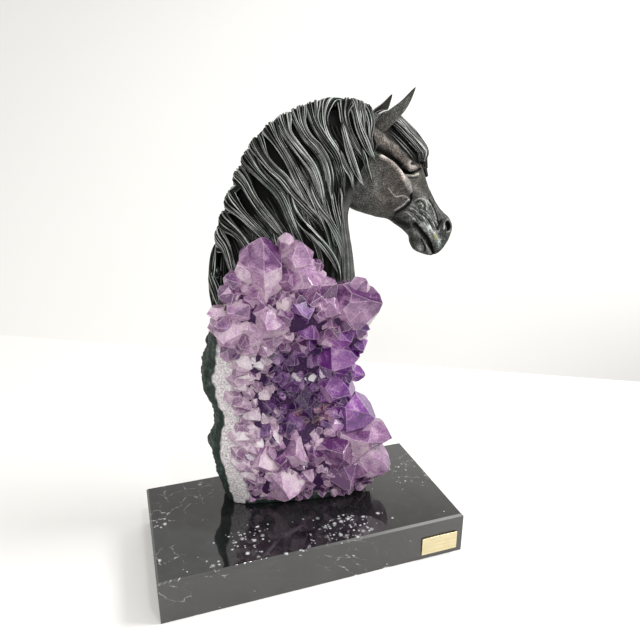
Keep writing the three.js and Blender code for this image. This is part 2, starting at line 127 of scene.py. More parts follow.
def rough(points, size, octaves=3, seed=0):
    """Noise of several sizes, each half the one before."""
    return sum(noise(points, size / 2**k, seed + k) / 1.8**k for k in range(octaves))


def path_distance(x, z, path):
    """Distance to a smooth path, seen from the side."""
    path = curve(path, np.linspace(0, 1, 4 * len(path))) if len(path) > 2 else np.asarray(path, float)
    best = np.full(x.shape, np.inf)
    for a, b in zip(path[:-1], path[1:]):
        d = b - a
        t = np.clip(((x - a[0]) * d[0] + (z - a[1]) * d[1]) / max(d @ d, 1e-9), 0, 1)
        best = np.minimum(best, np.hypot(x - a[0] - t * d[0], z - a[1] - t * d[1]))
    return best


def near_path(x, z, path, reach, fall=1.0):
    """One along a path seen from the side, and less the farther from it."""
    return np.exp(-((fall * path_distance(x, z, path) / reach) ** 2))


# Meshes


class Pile:
    """Collects closed forms, with values for each of their points, into one mesh."""

    def __init__(self):
        self.points, self.faces, self.values, self.count = [], [], {}, 0

    def add(self, points, faces, **values):
        points = np.asarray(points, float).reshape(-1, 3)
        self.points.append(points)
        self.faces.extend([tuple(int(i) + self.count for i in face) for face in faces])
        for name, value in values.items():
            self.values.setdefault(name, []).append(np.broadcast_to(np.ravel(value), len(points)))
        self.count += len(points)


def skin(rows, columns):
    """Faces of a closed tube of rows of points, with both ends closed."""
    i, j = np.meshgrid(np.arange(rows - 1), np.arange(columns), indexing="ij")
    k = (j + 1) % columns
    sides = np.stack([i * columns + j, i * columns + k, (i + 1) * columns + k, (i + 1) * columns + j], -1)
    last = (rows - 1) * columns
    return sides.reshape(-1, 4).tolist() + [list(range(columns))[::-1], list(range(last, last + columns))]


def horse_place(points):
    return (np.asarray(points) * HORSE_UNIT + HORSE_PLACE) * MM


def geode_place(points):
    p = np.asarray(points, float)
    c, s = math.cos(GEODE_TURN), math.sin(GEODE_TURN)
    turned = np.stack([c * p[..., 0] - s * p[..., 1], s * p[..., 0] + c * p[..., 1], p[..., 2]], -1)
    return (turned + GEODE_PLACE) * MM


def make(name, pile, node, material, smooth=True):
    mesh = bpy.data.meshes.new(name)
    mesh.from_pydata(np.concatenate(pile.points).tolist(), [], pile.faces)
    for key, value in pile.values.items():
        mesh.attributes.new(key, "FLOAT", "POINT").data.foreach_set("value", np.concatenate(value))
    work = bmesh.new()
    work.from_mesh(mesh)
    bmesh.ops.recalc_face_normals(work, faces=work.faces)
    work.to_mesh(mesh)
    work.free()
    mesh.polygons.foreach_set("use_smooth", [smooth] * len(mesh.polygons))
    mesh.materials.append(material)
    piece = bpy.data.objects.new(name, mesh)
    bpy.context.scene.collection.objects.link(piece)
    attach(piece, "root")
    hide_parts(node)
    return piece


# Materials


class Nodes:
    """A new node material, with short ways to add and join its nodes."""

    def __init__(self, name, **constants):
        self.material = bpy.data.materials.new(name)
        self.material.use_nodes = True
        self.tree = self.material.node_tree
        self.shader = self.tree.nodes["Principled BSDF"]
        for key, value in constants.items():
            self.shader.inputs[key.replace("_", " ")].default_value = value

    def node(self, kind, settings=None, **inputs):
        """Adds a node. An input is named, or numbered as in i0."""
        made = self.tree.nodes.new(kind)
        for key, value in (settings or {}).items():
            setattr(made, key, value)
        for key, value in inputs.items():
            numbered = key[0] == "i" and key[1:].isdigit()
            self.put(made.inputs[int(key[1:]) if numbered else key.replace("_", " ")], value)
        return made

    def put(self, socket, value):
        if isinstance(value, bpy.types.NodeSocket):
            self.tree.links.new(value, socket)
        else:
            socket.default_value = value

    def place(self, scale=(1, 1, 1)):
        coordinates = self.node("ShaderNodeTexCoord").outputs["Object"]
        return self.node("ShaderNodeMapping", Vector=coordinates, Scale=scale).outputs["Vector"]

    def noise(self, scale, detail=4, rough=0.55, vector=None, distortion=0):
        return self.node(
            "ShaderNodeTexNoise",
            Vector=vector or self.place(),
            Scale=scale,
            Detail=detail,
            Roughness=rough,
            Distortion=distortion,
        ).outputs["Fac"]

    def value(self, name):
        return self.node("ShaderNodeAttribute", {"attribute_name": name}).outputs["Fac"]

    def math(self, operation, a, b=0.0, clamp=False):
        settings = {"operation": operation, "use_clamp": clamp}
        return self.node("ShaderNodeMath", settings, i0=a, i1=b).outputs[0]

    def span(self, value, low, high, to_low=0.0, to_high=1.0):
        return self.node(
            "ShaderNodeMapRange", Value=value, From_Min=low, From_Max=high, To_Min=to_low, To_Max=to_high
        ).outputs["Result"]

    def blend(self, factor, a, b, mode="MIX"):
        made = self.tree.nodes.new("ShaderNodeMix")
        made.data_type = "RGBA"
        made.blend_type = mode
        for index, value in ((0, factor), (6, a), (7, b)):
            if isinstance(value, tuple) and len(value) == 3:
                value = (*value, 1)
            self.put(made.inputs[index], value)
        return made.outputs[2]

    def ramp(self, value, *stops):
        made = self.node("ShaderNodeValToRGB", Fac=value)
        elements = made.color_ramp.elements
        while len(elements) < len(stops):
            elements.new(0.5)
        for element, (at, colour) in zip(elements, stops):
            element.position = at
            element.color = (*colour, 1)
        return made.outputs["Color"]

    def bump(self, height, strength, distance):
        made = self.node("ShaderNodeBump", Height=height, Strength=strength, Distance=distance)
        return made.outputs["Normal"]

    def finish(self, colour, roughness=None, normal=None):
        self.put(self.shader.inputs["Base Color"], colour)
        if roughness is not None:
            self.put(self.shader.inputs["Roughness"], roughness)
        if normal is not None:
            self.put(self.shader.inputs["Normal"], normal)
        return self.material


def resin_material(name, roughness, specular, grain):
    """Cast black resin with light graphite brushed over what stands proud; the tone it reads also holds the
    head's painted shade and glints.
    """
    m = Nodes(name, Specular_IOR_Level=specular)
    fine = m.noise(1500, 3, 0.65)
    cloud = m.noise(160, 4, 0.6)
    tone = m.math("ADD", m.value("tone"), m.span(fine, 0.4, 0.6, -grain, grain))
    tone = m.math("ADD", tone, m.span(cloud, 0.3, 0.7, -0.06, 0.06), True)
    colour = m.ramp(
        tone,
        (0.0, (0.0022, 0.0024, 0.0024)),
        (0.25, (0.009, 0.0095, 0.0092)),
        (0.5, (0.06, 0.061, 0.059)),
        (0.75, (0.24, 0.245, 0.24)),
        (1.0, (0.6, 0.61, 0.605)),
    )
    brown = m.math("MULTIPLY", m.value("brown"), m.span(m.noise(420, 3), 0.35, 0.65, 0.4, 1.0))
    colour = m.blend(brown, colour, (1.12, 0.92, 0.84), "MULTIPLY")
    green = m.span(m.noise(60, 3), 0.45, 0.7, 0.0, 0.8)
    colour = m.blend(green, colour, (0.88, 1.03, 0.95), "MULTIPLY")
    colour = m.blend(m.value("worn"), colour, (0.3, 0.32, 0.08))
    rough = m.span(cloud, 0.3, 0.7, roughness - 0.08, roughness + 0.08)
    return m.finish(colour, rough, m.bump(fine, 0.3, 0.0003))


def crystal_material(name, deep, body, pale, clear, shine=0.3):
    """Amethyst: colour in clouds and veils inside, pale cracks, a painted highlight along its edges, and
    paler at its feet.
    """
    m = Nodes(name, Transmission_Weight=clear, IOR=1.55, Coat_Weight=shine, Coat_Roughness=0.16)
    cloud = m.noise(110, 2, 0.5, distortion=0.8)
    veil = m.noise(430, 5, 0.75, distortion=2.2)
    depth = m.math("ADD", m.value("shade"), m.span(cloud, 0.3, 0.7, -0.24, 0.24))
    depth = m.math("ADD", depth, m.span(veil, 0.42, 0.7, -0.16, 0.36))
    colour = m.ramp(depth, (0.0, deep), (0.5, body), (1.0, pale))
    crack = m.node(
        "ShaderNodeTexVoronoi", {"feature": "DISTANCE_TO_EDGE"}, Vector=m.place((1, 1, 0.45)), Scale=260
    ).outputs["Distance"]
    crack = m.math("MULTIPLY", m.span(crack, 0.0, 0.035, 0.6, 0.0), m.span(cloud, 0.5, 0.62), True)
    # The pale lines along the edges are a painted highlight, stronger the shinier the crystal; the cracks
    # are pale in the stone itself.
    edge = m.math("MULTIPLY", m.math("POWER", m.value("edge"), 1.5), m.span(veil, 0.3, 0.6, 0.2, 1.0))
    light = m.math("MULTIPLY", m.math("MAXIMUM", edge, crack, True), 0.15 + 1.9 * shine, True)
    colour = m.blend(light, colour, (0.9, 0.76, 0.82))
    return m.finish(colour, m.span(veil, 0.3, 0.7, 0.04, 0.16), m.bump(veil, 0.05, 0.0003))


def rock_material():
    """Green-black rind, a granular grey-white layer inside it and violet druse, darkened as painted shade
    between the crystals.
    """
    m = Nodes("rock", Specular_IOR_Level=0.2)
    grain = m.noise(900, 4, 0.7)
    lumps = m.noise(180, 5, 0.65)
    rind = m.ramp(
        lumps, (0.3, (0.006, 0.011, 0.009)), (0.55, (0.022, 0.036, 0.03)), (0.75, (0.09, 0.12, 0.1))
    )
    layer = m.ramp(grain, (0.3, (0.2, 0.18, 0.19)), (0.5, (0.56, 0.52, 0.54)), (0.7, (0.9, 0.88, 0.89)))
    # The druse is nearly black: painted shade between the crystals that stand on it, over its violet.
    druse = m.ramp(
        grain, (0.3, (0.008, 0.002, 0.014)), (0.55, (0.035, 0.008, 0.055)), (0.8, (0.2, 0.09, 0.22))
    )
    colour = m.blend(m.value("layer"), rind, layer)
    colour = m.blend(m.value("druse"), colour, druse)
    return m.finish(colour, m.span(grain, 0.3, 0.7, 0.35, 0.7), m.bump(grain, 0.6, 0.0006))


# White marks in the marble, as x, y, reach and how many: clusters of flecks and networks of fine veins.
FLECKS = [
    (-40, -29, 19, 0.24), (-30, -44, 9, 0.16), (4, -35, 12, 0.26), (19, -37, 15, 0.5), (34, -38, 11, 0.28),
    (91, 8, 26, 0.07), (-66, -42, 8, 0.2), (-13, -50, 6, 0.4), (-95, 5, 6, 0.4),
]
VEINS = [
    (-74, 36, 26, 0.55), (-92, 15, 14, 0.8), (-69, -52, 6, 1.0), (92, 12, 26, 0.4),
    (-90, -28, 11, 0.9), (16, -40, 22, 0.35), (-99, -57, 10, 0.9), (0, -66, 15, 0.5),
]
# Three sizes of fleck: scale, reach within a cell, share of the number, and shift of the pattern.
FLECK_SIZES = ((175, 0.28, 1.5, 0.0), (300, 0.28, 0.9, 0.007), (520, 0.3, 0.4, 0.013))


def field(m, spots, place):
    """How strong the marks are: most at the middle of each spot, none past its reach."""
    total = 0.0
    for x, y, reach, amount in spots:
        across = m.math("POWER", m.math("SUBTRACT", place[0], x * MM), 2.0)
        along = m.math("POWER", m.math("SUBTRACT", place[1], y * MM), 2.0)
        away = m.math("DIVIDE", m.math("SQRT", m.math("ADD", across, along)), reach * MM)
        total = m.math("MAXIMUM", total, m.span(away, 0.45, 1.0, amount, 0.0))
    return total


def marble_material():
    """Polished black marble with thin pale veins and clusters of white flecks."""
    m = Nodes("marble", IOR=1.84)
    axes = m.node("ShaderNodeSeparateXYZ", Vector=m.place()).outputs
    drop = m.math("SUBTRACT", axes[2], PLINTH_SIZE[2] * MM)
    across = m.math("ADD", axes[0], m.math("MULTIPLY", drop, 0.9))
    low = m.math("ADD", axes[1], drop)
    flat = m.node("ShaderNodeCombineXYZ", X=across, Y=low).outputs[0]
    spread = (across, low)
    bent = m.node("ShaderNodeTexNoise", Vector=flat, Scale=90, Detail=4, Roughness=0.6).outputs["Color"]
    path = m.node("ShaderNodeVectorMath", {"operation": "SCALE"}, i0=bent, Scale=0.012).outputs[0]
    path = m.node("ShaderNodeVectorMath", {"operation": "ADD"}, i0=flat, i1=path).outputs[0]
    lines = m.node(
        "ShaderNodeTexVoronoi",
        {"feature": "DISTANCE_TO_EDGE", "voronoi_dimensions": "2D"},
        Vector=path,
        Scale=85,
    ).outputs["Distance"]
    broken = m.span(m.noise(240, 4, 0.7), 0.46, 0.62)
    vein = m.math("MULTIPLY", m.span(lines, 0.0, 0.035, 1.0, 0.0), broken)
    white = m.math("MULTIPLY", vein, m.math("ADD", field(m, VEINS, spread), 0.05), True)
    for scale, reach, share, shift in FLECK_SIZES:
        apart = (shift, shift, 0)
        moved = m.node("ShaderNodeVectorMath", {"operation": "ADD"}, i0=flat, i1=apart).outputs[0]
        cells = m.node("ShaderNodeTexVoronoi", {"voronoi_dimensions": "2D"}, Vector=moved, Scale=scale)
        ragged = m.span(m.noise(1900, 2), 0.3, 0.7, -0.09, 0.09)
        spot = m.span(m.math("ADD", cells.outputs["Distance"], ragged), reach - 0.17, reach, 1.0, 0.0)
        chosen = m.node("ShaderNodeSeparateColor", Color=cells.outputs["Color"]).outputs
        many = m.math("ADD", m.math("MULTIPLY", field(m, FLECKS, spread), share), 0.006)
        spot = m.math("MULTIPLY", spot, m.math("LESS_THAN", chosen[0], many))
        white = m.math("MAXIMUM", white, m.math("MULTIPLY", spot, m.span(chosen[1], 0, 1, 0.2, 0.85)), True)
    ground = m.ramp(m.noise(70, 5, 0.6), (0.35, (0.004, 0.0042, 0.0045)), (0.7, (0.014, 0.0145, 0.015)))
    colour = m.blend(white, ground, (0.66, 0.67, 0.68))
    # worn carries the edges' chips and dull wear, and the painted highlight along the front of the top
    # chamfer.
    colour = m.blend(m.value("worn"), colour, (0.5, 0.5, 0.48))
    rough = m.math("ADD", 0.05, m.math("MULTIPLY", m.math("ADD", m.value("worn"), white), 0.35))
    return m.finish(colour, rough)


def brass_material():
    """Pale brushed brass, bare."""
    m = Nodes("brass", Metallic=1.0, Roughness=0.3)
    brushed = m.noise(900, 3, 0.6, m.place((0.06, 1, 1)))
    cloud = m.noise(120, 3)
    colour = m.ramp(brushed, (0.3, (0.58, 0.49, 0.28)), (0.7, (0.78, 0.7, 0.48)))
    colour = m.blend(m.span(cloud, 0.5, 0.75, 0.0, 0.3), colour, (0.62, 0.5, 0.28))
    return m.finish(colour, m.span(brushed, 0.3, 0.7, 0.24, 0.4), m.bump(brushed, 0.08, 0.0002))


def plain_material(name, colour, roughness, dim=0.0):
    """Plain paint, with painted shade that dims it by that share low down on the right."""
    m = Nodes(name, Roughness=roughness)
    paint = m.ramp(m.noise(3, 2), (0.3, colour), (0.7, tuple(0.985 * c for c in colour)))
    axes = m.node("ShaderNodeSeparateXYZ", Vector=m.place()).outputs
    # Painted shade, low down on the right.
    shade = m.math("MULTIPLY", m.span(axes[0], 0.1, 0.6), m.span(axes[2], 0.2, 0.0))
    shade = m.math("SUBTRACT", 1.0, m.math("MULTIPLY", shade, dim))
    grey = m.node("ShaderNodeCombineColor", Red=shade, Green=shade, Blue=shade).outputs[0]
    return m.finish(m.blend(1.0, paint, grey, "MULTIPLY"))


# Horse. Its places are in hundredths of its height from the middle of its seat.

CREST = [
    [42, 8, 86], [33, 9.6, 90], [22, 11, 91], [8, 12, 88], [-7, 13, 79.6],
    [-17, 14, 66], [-24.5, 14.5, 48.5], [-30, 14.5, 30], [-34.5, 14.5, -1],
]
THROAT = [
    [43, 7.5, 66], [36, 9, 57], [31, 10, 50], [29.4, 10.5, 45.5], [29.6, 11, 40.5],
    [30.5, 12, 34.5], [32, 12.5, 26.5], [33.5, 13, 16.5], [35.5, 13, -1],
]
FACE_LINE = [
    [36, 6, 90], [45, 8, 88.5], [52, 9.6, 84], [58.5, 10.4, 77.5], [63.5, 9.8, 70.5], [67.3, 7.4, 63],
    [70.6, 5.6, 56], [74.6, 5, 49.3], [79.3, 5.2, 43.6], [83.3, 6, 40.2], [85, 5.8, 35.5],
    [83.4, 5.2, 30.5], [80.3, 4.2, 26], [77.6, 2.2, 23.6],
]
JAW_LINE = [
    [26, 8, 62], [27.5, 9, 53], [31.5, 9.6, 47.2], [38, 9.8, 44.6], [45.5, 9, 42.4], [50.5, 7.6, 41],
    [55.5, 6, 37.8], [59.5, 5.2, 34.8], [62.3, 5, 32], [63.4, 5.2, 28.6], [65.5, 5.2, 25.2],
    [69.5, 4.8, 23.2], [73.5, 3.8, 22], [76.2, 2, 22.4],
]
# Broad forms of the head: a path seen from the side, its reach and its height.
HEAD_FORMS = [
    ([[41, 81], [47, 75.5], [53, 71.5]], 3.6, 1.5),
    ([[54, 71.2], [58, 70.6], [62, 68.6]], 3.2, 1.5),
    ([[49.5, 80.8], [54, 77.2], [57.8, 73.8]], 2.2, -1.2),
    ([[56.5, 66.8], [59.5, 66.2]], 2.8, 1.4),
    ([[45.5, 72.5], [51, 67], [54.5, 63.5]], 2.8, -1.6),
    ([[42.5, 70.5], [48.3, 65.6], [53, 61], [58, 55.5]], 2.4, 1.6),
    ([[37, 62], [42, 56], [41, 51]], 10, 1.4),
    ([[49, 42.4], [54.5, 46], [58.5, 51.5]], 3, -1.5),
    ([[61, 46], [64, 51]], 4, -1.2),
    ([[77.5, 40.5], [81.5, 40.8], [82.5, 37]], 2.8, 1.5),
    ([[79.6, 38.2], [80.8, 36.8]], 1.9, -2.0),
    ([[60.8, 39.2], [65, 34.6], [69.5, 29.8], [74.5, 24.8]], 1.7, -1.9),
    ([[65, 38], [71, 32.5], [77, 27]], 3, 0.7),
    ([[65.5, 28.5], [68, 26.6]], 3.2, 1.2),
]
# Finer carving over them: folds, lids, veins and wrinkles.
HEAD_CARVING = [
    ([[56.5, 69.8], [59, 68.7], [61.8, 67]], 0.55, -0.5),
    ([[56.3, 67.5], [59.2, 66.6], [62.2, 65.2]], 0.55, -0.45),
    ([[52.6, 66.2], [56.5, 64], [61.5, 62.8]], 0.6, 0.4),
    ([[40.1, 80.1], [43.5, 78], [47.2, 75.4], [50.4, 72.1], [53.8, 68.6], [57.4, 66.5]], 2.6, 0.7),
    ([[40.1, 73.6], [44.3, 71.6], [49.2, 68.6], [52.3, 65.6], [55, 64]], 0.9, -0.8),
    ([[55.8, 66], [59.3, 66.4], [63, 65.9]], 1.3, 0.7),
    ([[57.4, 69.1], [60.6, 68.4], [64, 67.1]], 0.35, 0.22),
    ([[56.5, 67.7], [59.9, 67.3], [63.5, 66.2]], 0.3, -0.3),
    ([[57, 70.2], [60.5, 69.6], [63.5, 68.4]], 0.3, -0.25),
    ([[53.6, 64.4], [56.6, 63.4], [59.9, 63.8], [63.1, 64.7]], 0.55, -2.4),
    ([[54.9, 62.6], [57.8, 62.2], [61.5, 62.5]], 0.6, 0.35),
    ([[55.5, 61.4], [58.5, 61], [61.5, 61.4]], 0.35, -0.3),
    (
        [[41.4, 71.2], [45.1, 69.4], [48.4, 67.3], [50.8, 64.6], [52.4, 61.1], [54.9, 57.7], [57, 55.3]],
        1.1, 0.65,
    ),
    ([[52, 44.8], [56.6, 47.2], [59.6, 50.4], [58.6, 53.4]], 0.45, -0.8),
    ([[50.6, 46.6], [55, 48.8], [57.9, 51.2]], 0.6, 0.45),
    ([[45.3, 57], [47.5, 54.7], [49.7, 53.1], [53.2, 53.4], [56.6, 52], [58.3, 50.3]], 0.26, 0.42),
    ([[61.6, 50.1], [64.6, 51], [67.4, 49.9], [68.5, 47.1], [68, 45.4]], 0.26, 0.34),
    ([[62.6, 49], [64.6, 49.8], [66.6, 48.9], [67.3, 47], [66.6, 45.6]], 0.26, -0.36),
    ([[63.8, 48.2], [65.3, 48.4], [66.1, 47.2]], 0.26, 0.32),
    ([[68.7, 50], [71.5, 46.3], [73.1, 42.7], [73.8, 39.1]], 0.3, 0.32),
    ([[69.8, 50.2], [72.7, 46.3], [74.4, 42.5], [75, 39]], 0.32, -0.45),
    ([[59.2, 47], [62.3, 45.6], [64.8, 43.2], [67.6, 41.2]], 0.26, 0.32),
    ([[58.8, 45.8], [61.8, 44.2], [64.2, 41.8], [66.8, 39.8]], 0.26, -0.36),
    ([[56.8, 45.3], [59.5, 43.5], [62.6, 40.8]], 0.26, 0.32),
    ([[64.8, 46], [68.3, 44], [71.3, 40.9], [73, 37.4]], 0.26, 0.32),
    ([[64.4, 44.6], [67.4, 42.6], [70.2, 39.6], [71.8, 36.6]], 0.26, -0.34),
    ([[51.2, 41.9], [54.5, 40.2], [58.4, 38.8], [60.7, 37.2]], 1.1, -0.7),
    ([[80, 38.6], [81.2, 37.2], [81, 35.2]], 0.75, -1.7),
    ([[78.1, 35.8], [79, 38.3], [80.7, 40.1], [82.6, 38.4], [83.2, 36.2]], 0.5, 0.8),
    ([[80.2, 33.9], [81.6, 34.2], [82.8, 35.2]], 0.5, 0.4),
    ([[74.6, 36], [75.8, 38.4], [76.9, 40.3]], 0.8, -0.6),
    ([[62.8, 39], [65.6, 36.2], [68.5, 32.9], [70.7, 30], [73.1, 26.4], [75, 22.7]], 0.45, -1.5),
    ([[66.5, 38.3], [70.5, 36], [74, 32.3], [75.6, 27.4]], 1.7, 0.6),
    ([[68, 29.8], [70, 26.8], [72.4, 23.8]], 0.8, 0.5),
    ([[64.6, 28.6], [66, 26.4]], 1.9, 0.8),
    ([[66.9, 31], [68.3, 28.3], [69.2, 25.2]], 0.5, -0.7),
    ([[38.1, 60.9], [40.1, 55.5], [43.4, 50.7]], 2.2, 0.25),
]
# Where the graphite lies thicker or thinner, and painted shade: the darkening in the gap beside the
# forelock, under the temple, along the jaw and round the cheek's disc, along the mouth and in the nostril
# stands for shade. Each is a path, its reach and how much.
HEAD_TONES_AND_SHADE = [
    ([[47, 81.5], [50.1, 78.8], [54.2, 74.3], [57.5, 70.6]], 1.8, -0.6),
    ([[42, 71.5], [47, 69.7], [51.5, 66], [54.5, 61.5], [56.7, 57.8]], 0.8, 0.2),
    ([[42.5, 71], [46, 69], [49.5, 66], [52, 62]], 1.3, 0.14),
    ([[45, 83.3], [49.5, 80.8], [54, 77.2], [57.8, 73.8], [60.8, 70]], 2.9, -0.8),
    ([[44.5, 70.2], [49.5, 66.6]], 0.8, -0.2),
    ([[41, 74.5], [46, 71.5], [51, 68], [54.5, 64.5]], 1.3, -0.3),
    ([[44, 41], [52, 41.5], [59, 38]], 2.4, -0.16),
    ([[52, 44.5], [58, 48.5]], 1.6, -0.16),
    ([[60, 56.6], [65.8, 52], [69, 48.3]], 1.8, 0.12),
    ([[67.3, 62], [70.4, 55.7], [74.4, 49.1], [79.7, 43]], 0.7, -0.14),
    ([[61, 44], [66, 40], [71, 35]], 5, 0.06),
    ([[66, 37.5], [70, 34.5], [73, 31]], 1.6, 0.04),
    ([[63, 38.6], [68.5, 32.6], [73, 26]], 0.8, -0.3),
    ([[63.5, 30], [64.5, 26]], 2.2, -0.14),
    ([[66, 27.6], [67, 26.2]], 1.0, 0.22),
    ([[80.2, 38.2], [81.4, 36.8]], 1.1, -0.4),
    ([[57, 67.8], [61, 67.2]], 1.6, 0.12),
    ([[54, 62.6], [61, 62]], 1.6, 0.08),
]
# Where the resin is browner, the last of them the beaded form at the temple.
BROWN_FORMS = (
    [[42, 78], [50, 60], [45, 50]],
    [[56, 68], [62, 60]],
    [[42, 79], [48, 75], [55, 68.5], [62, 67.5]],
)
# The yellow-green worn spot on the near side of the muzzle.
WORN_PLACE = [[73, 33], [74, 31.4]]


def neck_point(down, around, side, lift=0.0):
    """A place on the neck and the way out: down from poll to seat, around from crest to throat."""
    down, around, lift = np.broadcast_arrays(np.atleast_1d(down).astype(float), around, lift)
    top, under = curve(CREST, down), curve(THROAT, down)
    c, s = np.cos(np.pi * around), np.sin(np.pi * around)
    arm = (top - under) / 2
    arm[:, 1] = 0
    half = mix(top[:, 1], under[:, 1], smooth_step(around))
    place = (top + under) / 2 + arm * c[:, None]
    place[:, 1] = side * half * np.sign(s) * np.abs(s) ** 0.9
    out = arm * (c / (arm**2).sum(1))[:, None]
    out[:, 1] = side * s / half
    out = unit(out)
    return place + out * lift[:, None], out


def head_point(along, around, side):
    """A place on the head: along from the poll to the lips, around from the face line to the jaw line."""
    top, under = curve(FACE_LINE, along), curve(JAW_LINE, along)
    c, s = np.cos(np.pi * around), np.clip(np.sin(np.pi * around), 0, 1)
    place = top + (under - top) * ((1 - c) / 2)[:, None]
    full = mix(top[:, 1], under[:, 1], smooth_step(around)) * s**0.72
    x, z = place[:, 0], place[:, 2]
    relief = sum(height * near_path(x, z, path, reach, 1.3) for path, reach, height in HEAD_FORMS)
    place[:, 1] = side * np.maximum(0, full + relief * s**1.5)
    return place


def rings_of(rows, columns):
    """Row and column shares of a tube whose columns go down one side and up the other."""
    along, turn = np.meshgrid(np.linspace(0, 1, rows), 2 * np.arange(columns) / columns, indexing="ij")
    return along.ravel(), np.where(turn <= 1, turn, 2 - turn).ravel(), np.where(turn <= 1, -1, 1).ravel()


def normals_of(grid):
    """Unit normals of a closed tube's grid of points, outwards."""
    wrapped = np.concatenate([grid[:, -1:], grid, grid[:, :1]], axis=1)
    across = (wrapped[:, 2:] - wrapped[:, :-2]) / 2
    normal = unit(np.cross(np.gradient(grid, axis=0), across))
    outwards = ((grid - grid.mean(axis=1, keepdims=True)) * normal).sum()
    return normal * np.sign(outwards)


def head():
    """The head's skin, carved and brushed, with painted shade and painted glints, from the poll to the
    lips.
    """
    rows, columns = HEAD_GRID
    along, around, side = rings_of(rows, columns)
    grid = head_point(along, around, side).reshape(rows, columns, 3)
    normal = normals_of(grid)
    x, z = grid[..., 0], grid[..., 2]
    s = np.sin(np.pi * around).clip(0, 1).reshape(rows, columns)
    deep, fine = np.zeros(x.shape), np.zeros(x.shape)
    for path, reach, height in HEAD_CARVING:
        raised = height * near_path(x, z, path, reach, 1.2)
        deep += raised
        fine += raised * min(1.5, 0.7 / reach)
    cast = 0.05 * rough(grid, 1.6, 3, 5) + 0.12 * rough(grid, 5, 2, 9)
    muzzle = smooth_step((x - 56) / 6) * smooth_step((53 - z) / 4) * smooth_step((z - 24) / 5)
    folds = np.stack([1.8 * x + 1.3 * z, 0.35 * (x - 1.4 * z), 0 * x], -1)
    crease = (1 - np.abs(rough(folds, 2.8, 2, 41)).clip(0, 1)) ** 5 * muzzle
    deep += 0.26 * crease - 0.08 * muzzle
    fine += 0.38 * crease - 0.07 * muzzle
    grid = grid + normal * (deep * s**1.2 + cast)[..., None]
    tone = 0.455 + 0.75 * np.clip(fine, -0.6, 0.6) * s + 0.04 * rough(grid, 3, 3, 2)
    # Brushed graphite, and painted shade in the gap by the forelock, under the temple and jaw, along the
    # mouth and in the nostril.
    for path, reach, amount in HEAD_TONES_AND_SHADE:
        tone += amount * near_path(x, z, path, reach)
    brown = np.zeros(x.shape)
    for path in BROWN_FORMS:
        brown = np.maximum(brown, near_path(x, z, path, 9))
    beaded = near_path(x, z, BROWN_FORMS[-1], 3.2) * rough(grid, 1.7, 2, 77)
    grid = grid + normal * (0.22 * beaded * s)[..., None]
    # The beads are lighter on top: graphite on what stands proud, and painted glints along the temple.
    tone += 0.28 * np.maximum(0, beaded) * s
    worn = near_path(x, z, WORN_PLACE, 0.65) * (0.7 + 0.6 * rough(grid, 1.1, 2, 91))
    worn = worn.clip(0, 1) * (side < 0).reshape(x.shape)
    pile = Pile()
    pile.add(horse_place(grid), skin(rows, columns), tone=tone.clip(0, 1), brown=brown, worn=worn)
    return pile


def neck():
    """The neck's skin, with straps of combed hair low on its near side."""
    rows, columns = NECK_GRID
    along, around, side = rings_of(rows, columns)
    near = (side < 0) & (around > 0.42)
    strap = np.where(near, smooth_step((around - 0.42) * 8) * smooth_step((0.9 - around) * 9), 0)
    strap *= smooth_step((along - 0.4) * 6)
    groove = np.abs(np.sin(np.pi * (24 * around + 0.9 * np.sin(7 * along) - 3 * along)))
    lift = 0.28 * strap * (groove - 0.5) + 1.3 * smooth_step((0.14 - around) / 0.12)
    points, out = neck_point(along, around, side, lift)
    points += out * (0.06 * rough(points, 1.8, 3, 4) + 0.2 * noise(points, 9, 8))[:, None]
    points = keep_off_crust(points)
    muscle = smooth_step((around - 0.6) * 6)
    full = np.where(side < 0, 0.5, 0.41)
    tone = mix(0.02, full, np.where(side < 0, muscle, smooth_step(around * 5)))
    tone = tone + 0.3 * strap * (groove - 0.6) + 0.03 * rough(points, 4, 3, 3)
    pile = Pile()
    pile.add(horse_place(points), skin(rows, columns), tone=tone.clip(0, 1), brown=0.15)
    return pile


def keep_off_crust(points):
    """Keeps the horse behind the crust in front of it and above its seat."""
    points = points.copy()
    front = (WALL_Y + 0.3 - HORSE_PLACE[1]) / HORSE_UNIT
    points[..., 1] = np.maximum(points[..., 1], front)
    points[..., 2] = np.maximum(points[..., 2], 0)
    return points


